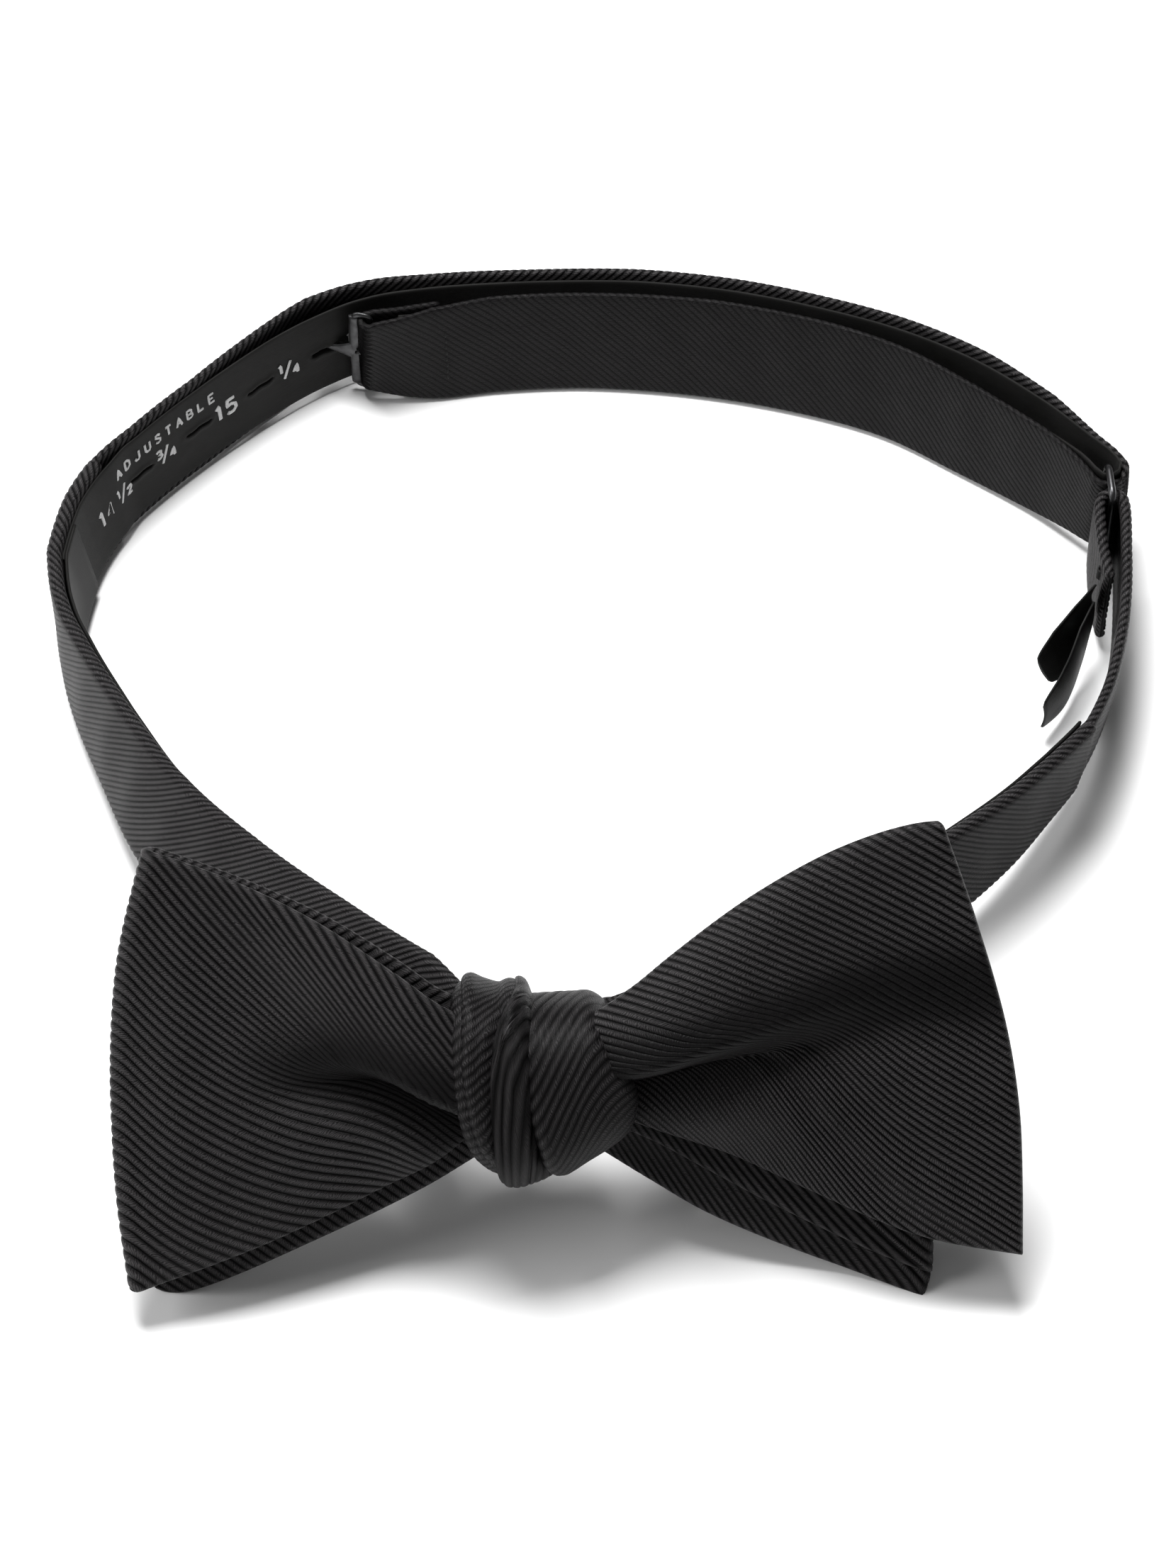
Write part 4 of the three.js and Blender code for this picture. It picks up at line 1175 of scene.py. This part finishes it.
def t_hook():
    """A flattened wire frame whose one side lies in the hem, with a tapered tongue and a small bent spur."""
    window, bar = 2.3, 0.62
    loop = rounded_loop(window, 16.6, 0.75)
    frame_line = []
    for k, (x, z) in enumerate(loop):
        after = loop[(k + 1) % len(loop)]
        for t in np.linspace(0, 1, max(2, int(np.linalg.norm(after - (x, z)) / 1.2)))[:-1]:
            a, b = np.array((x, z)) * (1 - t) + after * t
            frame_line.append(hook_point(a + window / 2, b + 9.3))
    normal = np.subtract(hook_point(0, 0, 1), hook_point(0, 0, 0))
    parts = [tube(frame_line, HOOK_FLAT, bar * 0.72, closed=True, sides=16, up=normal)]
    # A wider, hammered front bar
    front = [hook_point(window + 0.1, z) for z in np.linspace(1.5, 17.1, 22)]
    swell = 0.72 + 0.16 * np.sin(np.linspace(0, math.pi, 22)) + 0.03 * np.sin(np.linspace(0, 19, 22))
    parts.append(tube(front, 0.34, swell, sides=16, up=normal))
    # The tongue tapers to its neck, and its small crosspiece lies behind the ribbon
    outs = np.linspace(window - 0.2, 7.0, 16)
    reach = (outs - outs[0]) / (outs[-1] - outs[0])
    high = 2.1 * (1 - reach) ** 2.2 + 0.52
    tongue = [hook_point(o, HOOK_Z, 0.12 * math.sin(math.pi * r)) for o, r in zip(outs, reach)]
    parts.append(tube(tongue, high, HOOK_FLAT, sides=16))
    head = [hook_point(6.9, HOOK_Z + z) for z in np.linspace(-1.9, 1.9, 9)]
    parts.append(tube(head, HOOK_FLAT, 0.5, up=normal))
    # The spur of wire at mid height
    spur = [hook_point(window - 0.2 - 2.5 * t, HOOK_Z + 0.4 + 1.5 * t, 0.62 + 0.25 * math.sin(math.pi * t))
            for t in np.linspace(0, 1, 9)]
    parts.append(tube(spur, np.linspace(0.3, 0.2, 9), sides=10))
    piece("t_hook_metal", joined(parts), hook_metal, "hook", "t_hook")


strap_ring()
t_hook()

# ---------------------------------------------------------------- the size ribbon

HOOKED_STATION = 16.24
SLOT_PITCH = 11.2
SLIT_LENGTH = 4.5
SLIT_HIGH = 8.8
SLIT_SHIFT = 0.9  # of the slits, towards the left band
MARK_SHIFT = 1.6  # of the marks between them
RIBBON_MIDDLE = -0.45
RIBBON_THICK = 0.4
hooked_at = strap_path.length(HOOKED_STATION)
ribbon_from, ribbon_to = BAND_ENDS - 16, HEM_STARTS
slits = hooked_at - SLIT_SHIFT + SLOT_PITCH * np.arange(-3, 4)


def slit_depth(s, high):
    """How far the ribbon's face is sunk: down in a slit, and raised at its lips and on the band."""
    depth = np.zeros(np.broadcast(s, high).shape) - 0.62 * (1 - smooth(s, BAND_ENDS, BAND_ENDS + 5))
    for k, at in enumerate(slits):
        wide = 0.34 if abs(at - hooked_at) < 1.5 else 0.15
        along = 1 - smooth(np.abs(s - at), SLIT_LENGTH / 2 - 0.3, SLIT_LENGTH / 2 + 0.2)
        d = high - SLIT_HIGH - 0.1 * np.sin(2.2 * (s - at) + k)
        cut = 0.55 * np.exp(-((d / wide) ** 4))
        lips = 0.14 * bell(np.abs(d) - wide - 0.45, 0.35)
        ends = np.exp(-((np.abs(s - at) - SLIT_LENGTH / 2 - 0.4) / 0.5) ** 2 - (d / 0.7) ** 2)
        depth = depth + along * (cut - lips)
        depth = depth - 0.12 * ends
    return depth


def size_ribbon():
    fine_to = slits[-1] + 4
    s = np.concatenate([np.arange(ribbon_from, fine_to, 0.3), np.arange(fine_to + 0.8, ribbon_to, 1.6)])
    s = np.concatenate([[ribbon_from, ribbon_from + 0.08], s[1:], [ribbon_to - 0.08, ribbon_to]])
    near = np.array([0.12, 0.24, 0.36, 0.5, 0.7, 0.9, 1.2, 1.6])
    edge = np.array([0, 0.06, 0.2, 0.6, 1.5, 3, 4.5])
    across = [STRIP_INSET + edge, SLIT_HIGH - near[::-1], [SLIT_HIGH], SLIT_HIGH + near]
    high = np.concatenate([*across, BAND_WIDTH - STRIP_INSET - edge[::-1]])
    foot, up, normal, *_ = strap_path.at(s)
    from_edge = np.minimum(high - high[0], high[-1] - high)
    end_round = round_off(np.minimum(s - s[0], s[-1] - s) / 0.1)[:, None]
    half = RIBBON_THICK / 2 * np.minimum(round_off(from_edge / 0.25), end_round)
    depth = slit_depth(s[:, None], high[None, :])
    rim = 0.06 * bell(from_edge - 1.1, 0.3)
    wave = waves(s, 0.06, 9)[:, None] * np.sin(math.pi * (high - high[0]) / (high[-1] - high[0]))
    middle = RIBBON_MIDDLE + depth - rim + wave
    # Painted shade: the ribbon's face is coloured nearly black where it sinks into a slit.
    shade = 1 - 0.97 * smooth(depth, 0.12, 0.4)
    base = foot[:, None, :] + up[:, None, :] * high[None, :, None]
    cloth = cloth_of(s[:, None], high, shade)
    shape = two_faced(base, normal[:, None, :], middle + half, middle - half, cloth)
    made = piece("size_ribbon_satin", shape, satin, "tie", "size_ribbon")


# Each mark is drawn in strokes inside a box 0.6 wide and 1 high.
STROKES = {
    "1": [[(0.1, 0.8), (0.3, 1), (0.3, 0)]],
    "2": [[(0, 0.8), (0.1, 0.95), (0.3, 1), (0.52, 0.92), (0.57, 0.74), (0.45, 0.5), (0, 0), (0.6, 0)]],
    "3": [[(0, 0.87), (0.15, 0.99), (0.38, 0.99), (0.55, 0.85), (0.5, 0.62), (0.25, 0.52), (0.53, 0.42),
           (0.6, 0.2), (0.4, 0.02), (0.15, 0), (0, 0.12)]],
    "4": [[(0.45, 0), (0.45, 1), (0, 0.32), (0.62, 0.32)]],
    "5": [[(0.55, 1), (0.08, 1), (0.04, 0.57), (0.3, 0.64), (0.55, 0.5), (0.58, 0.22), (0.38, 0.02),
           (0.12, 0.02), (0, 0.14)]],
    "6": [[(0.52, 0.93), (0.3, 1), (0.08, 0.75), (0, 0.35), (0.12, 0.05), (0.38, 0), (0.58, 0.17),
           (0.54, 0.45), (0.3, 0.56), (0.04, 0.36)]],
    "/": [[(0, -0.05), (0.5, 1.05)]],
    "A": [[(0, 0), (0.3, 1), (0.6, 0)], [(0.12, 0.36), (0.48, 0.36)]],
    "B": [[(0, 0), (0, 1), (0.35, 1), (0.52, 0.86), (0.5, 0.62), (0.3, 0.52), (0, 0.52)],
          [(0.3, 0.52), (0.56, 0.38), (0.58, 0.14), (0.38, 0), (0, 0)]],
    "D": [[(0, 0), (0, 1), (0.3, 1), (0.57, 0.75), (0.57, 0.25), (0.3, 0), (0, 0)]],
    "E": [[(0.55, 1), (0, 1), (0, 0), (0.55, 0)], [(0, 0.52), (0.42, 0.52)]],
    "L": [[(0, 1), (0, 0), (0.55, 0)]],
    "J": [[(0.5, 1), (0.5, 0.2), (0.35, 0), (0.12, 0), (0, 0.2)]],
    "S": [[(0.55, 0.85), (0.35, 1), (0.1, 0.95), (0.03, 0.72), (0.3, 0.54), (0.56, 0.35), (0.5, 0.08),
           (0.25, 0), (0, 0.14)]],
    "T": [[(0, 1), (0.6, 1)], [(0.3, 1), (0.3, 0)]],
    "U": [[(0, 1), (0, 0.22), (0.15, 0), (0.42, 0), (0.57, 0.22), (0.57, 1)]],
}
FIGURE_HIGH = 2.7
WORD_HIGH = 1.6
WORD_AT = 12.8
LETTER_WIDE = 0.6  # of a mark's height
WHOLE = (FIGURE_HIGH, 0.34, 0.5)  # height, half stroke and gap of a whole number


def on_ribbon(s, high, lift):
    foot, up, normal, *_ = strap_path.at(np.array([s]))
    face = RIBBON_MIDDLE - RIBBON_THICK / 2 - lift
    return foot[0] + up[0] * high + normal[0] * (face + float(slit_depth(s, high)))


def mark(text, middle, high, size, wide, gap):
    """Woven strokes for a few characters, centred on a length and height of the ribbon."""
    parts = []
    step = LETTER_WIDE * size + gap
    start = middle - (len(text) * step - gap) / 2
    _, _, normal, *_ = strap_path.at(np.array([start]))
    for k, letter in enumerate(text):
        for stroke in STROKES[letter]:
            line = []
            for (x0, y0), (x1, y1) in zip(stroke, stroke[1:]):
                steps = max(2, int(math.hypot(x1 - x0, y1 - y0) * size / 0.22))
                line += [(x0 + (x1 - x0) * t, y0 + (y1 - y0) * t) for t in np.linspace(0, 1, steps)[:-1]]
            line.append(stroke[-1])
            points = [on_ribbon(start + k * step + x * size, high + (y - 0.5) * size, 0.02) for x, y in line]
            part = tube(points, 0.07, wide, sides=8, up=normal[0])
            part[2][:, 0] += random.uniform(0, 3)
            parts.append(part)
    return parts


def fraction(top, bottom, middle):
    small = 0.56 * FIGURE_HIGH
    over = 0.24 * FIGURE_HIGH
    return (mark(top, middle - 1.15, SLIT_HIGH + over, small, 0.27, 0.3)
            + mark("/", middle, SLIT_HIGH, FIGURE_HIGH, 0.25, 0)
            + mark(bottom, middle + 1.25, SLIT_HIGH - over, small, 0.27, 0.3))


def size_marks():
    """Generic collar sizes between the slits, and a plain word above them."""
    between = hooked_at - MARK_SHIFT - SLOT_PITCH * (np.arange(4, -4, -1) - 0.5)
    parts = mark("14", between[0] - 1.9, SLIT_HIGH, *WHOLE)
    parts += fraction("1", "2", between[0] + 2.4)
    parts += fraction("3", "4", between[1])
    parts += mark("15", between[2], SLIT_HIGH, *WHOLE)
    parts += fraction("1", "4", between[3])
    parts += fraction("1", "2", between[4])
    parts += fraction("3", "4", between[5])
    parts += mark("16", between[6], SLIT_HIGH, *WHOLE)
    parts += mark("ADJUSTABLE", between[1] + 0.2, WORD_AT, WORD_HIGH, 0.23, 1.05)
    piece("size_ribbon_marks", joined(parts), mark_material, "tie")


size_ribbon()
size_marks()

# ---------------------------------------------------------------- care label and tacks

LABEL_WIDTH = 10
LABEL_THICK = 0.32
LEAF_PACE = 5.0  # rough length of a leaf between two stations


def label_leaf(name, node, length, curl, *stations):
    """One leaf of the folded label. A station is x, y, z and how far its cloth leans over, in degrees."""
    table = np.array(stations, float)
    t = np.linspace(0, len(table) - 1, 40)
    line = Path.curve(table[:, :3], t)
    lean = np.radians(np.interp(t, np.arange(len(table)), table[:, 3]))[:, None]
    b = np.concatenate([[0, 0.008, 0.03], np.linspace(0.08, 0.92, 15), [0.97, 0.992, 1]])
    shape = len(t), len(b)
    wide = LABEL_WIDTH * (0.5 + 0.5 * np.sin(math.pi * np.clip(t / t[-1], 0, 1)) ** 0.5)[:, None]
    out = LABEL_WIDTH / 2 + (b - 0.5) * wide
    bend = curl * np.sin(math.pi * b) * (0.6 + 0.4 * np.sin(t * 1.7))[:, None]
    x = line[:, 0][:, None] - out * np.sin(lean) + bend
    y = np.broadcast_to(line[:, 1][:, None], shape)
    z = line[:, 2][:, None] + out * np.cos(lean)
    middle = np.stack([x, y, z], axis=-1)
    normal = unit(np.cross(np.gradient(middle, axis=0), np.gradient(middle, axis=1)))
    inside = np.minimum(np.minimum(b, 1 - b) * LABEL_WIDTH, np.minimum(t, t[-1] - t)[:, None] * LEAF_PACE)
    half = LABEL_THICK / 2 * round_off(inside / 0.2)
    cloth = cloth_of(t[:, None] * LEAF_PACE, b * LABEL_WIDTH, 1.0)
    sheet = two_faced(middle, normal, half, -half, cloth)
    made = piece(name, sheet, label_satin, "care_label", node)


label_leaf("care_label_front_leaf", "care_label_front", 12.8, -0.9,
           (69.9, 29.3, 5.6, 0), (68.7, 25.1, 4.6, 12), (66.9, 21.8, 3.4, 20), (64.2, 19.2, 1.9, 21))
label_leaf("care_label_back_leaf", "care_label_back", 15.6, 0.5,
           (62.0, 12.4, 0.6, 0), (65.6, 17.0, 1.0, 4), (68.0, 22.4, 3.2, 4), (69.5, 26.8, 5.2, 0))


def stitches(name, path, rows, node):
    """Short threads that each dive into the cloth. A row is (length, height, length, height, face, arch)."""
    parts = []
    for s0, h0, s1, h1, face, arch in rows:
        t = np.linspace(0, 1, 9)
        foot, up, normal, _, pocket = path.at(s0 + (s1 - s0) * t)
        high = (h0 + (h1 - h0) * t)[:, None]
        lift = (pocket + face + arch * np.sin(math.pi * t))[:, None]
        parts.append(tube(foot + up * high + normal * lift, THREAD_R, sides=8))
    piece(name, joined(parts), thread_material, "tie", node)


tack_rows = [(2.6 + 0.3 * k, 11.2 + 0.15 * k, 2.6 + 0.3 * k, 13.6 - 0.1 * k, 0.55, 0.28) for k in (-1, 0, 1)]
tack_rows += [(2.0, 11.6 + 0.36 * k, 3.2, 11.75 + 0.36 * k, 0.62, 0.5) for k in range(6)]
stitches("keeper_bar_tack", keeper_path, tack_rows, "keeper_tack")
hem_line = HEM_STARTS - 7
hem_rows = [(hem_line + 0.1 * (k % 2), 3.9 + 1.15 * k, hem_line, 4.75 + 1.15 * k, 0.66, 0.2)
            for k in range(8)]
stitches("hem_stitches", strap_path, hem_rows, "hem_tack")

# ---------------------------------------------------------------- camera, light and floor

VIEW_ELEVATION = math.radians(58)
VIEW_DISTANCE = 0.75
VIEW_TARGET = Vector(place((-0.6, 0, 8)))
LENS = 126.2


def stage_view():
    camera = bpy.data.objects.new("camera", bpy.data.cameras.new("camera"))
    bpy.context.scene.collection.objects.link(camera)
    away = Vector((0, -math.cos(VIEW_ELEVATION), math.sin(VIEW_ELEVATION)))
    camera.location = VIEW_TARGET + away * VIEW_DISTANCE
    camera.rotation_mode = "QUATERNION"
    camera.rotation_quaternion = (-away).to_track_quat("-Z", "Y")
    camera.data.lens = LENS
    camera.data.clip_start = 0.01
    bpy.context.scene.camera = camera


def floor_and_light():
    bpy.ops.mesh.primitive_plane_add(size=6, location=(0, 0, min(cad_low.z, 0) - 0.0002))
    floor = bpy.context.object
    floor.name = "floor"
    pale = Shading("floor", Roughness=0.9, Base_Color=(0.9, 0.9, 0.9, 1), Specular_IOR_Level=0.1)
    floor.data.materials.append(pale.material)
    bpy.context.scene.view_settings.view_transform = "Standard"
    world = bpy.data.worlds.new("world")
    bpy.context.scene.world = world
    world.use_nodes = True
    world.node_tree.nodes["Background"].inputs["Color"].default_value = (1, 1, 1, 1)
    world.node_tree.nodes["Background"].inputs["Strength"].default_value = 0.15
    for name, place_at, size, power in (
        ("key", (-0.1, 0.25, 0.92), 0.35, 15.0),
        ("side", (-0.75, -0.05, 0.5), 0.5, 5.0),
    ):
        light = bpy.data.objects.new(name, bpy.data.lights.new(name, "AREA"))
        light.data.size = size
        light.data.energy = power
        light.location = place_at
        light.rotation_mode = "QUATERNION"
        light.rotation_quaternion = (-Vector(place_at)).to_track_quat("-Z", "Y")
        bpy.context.scene.collection.objects.link(light)


stage_view()
floor_and_light()
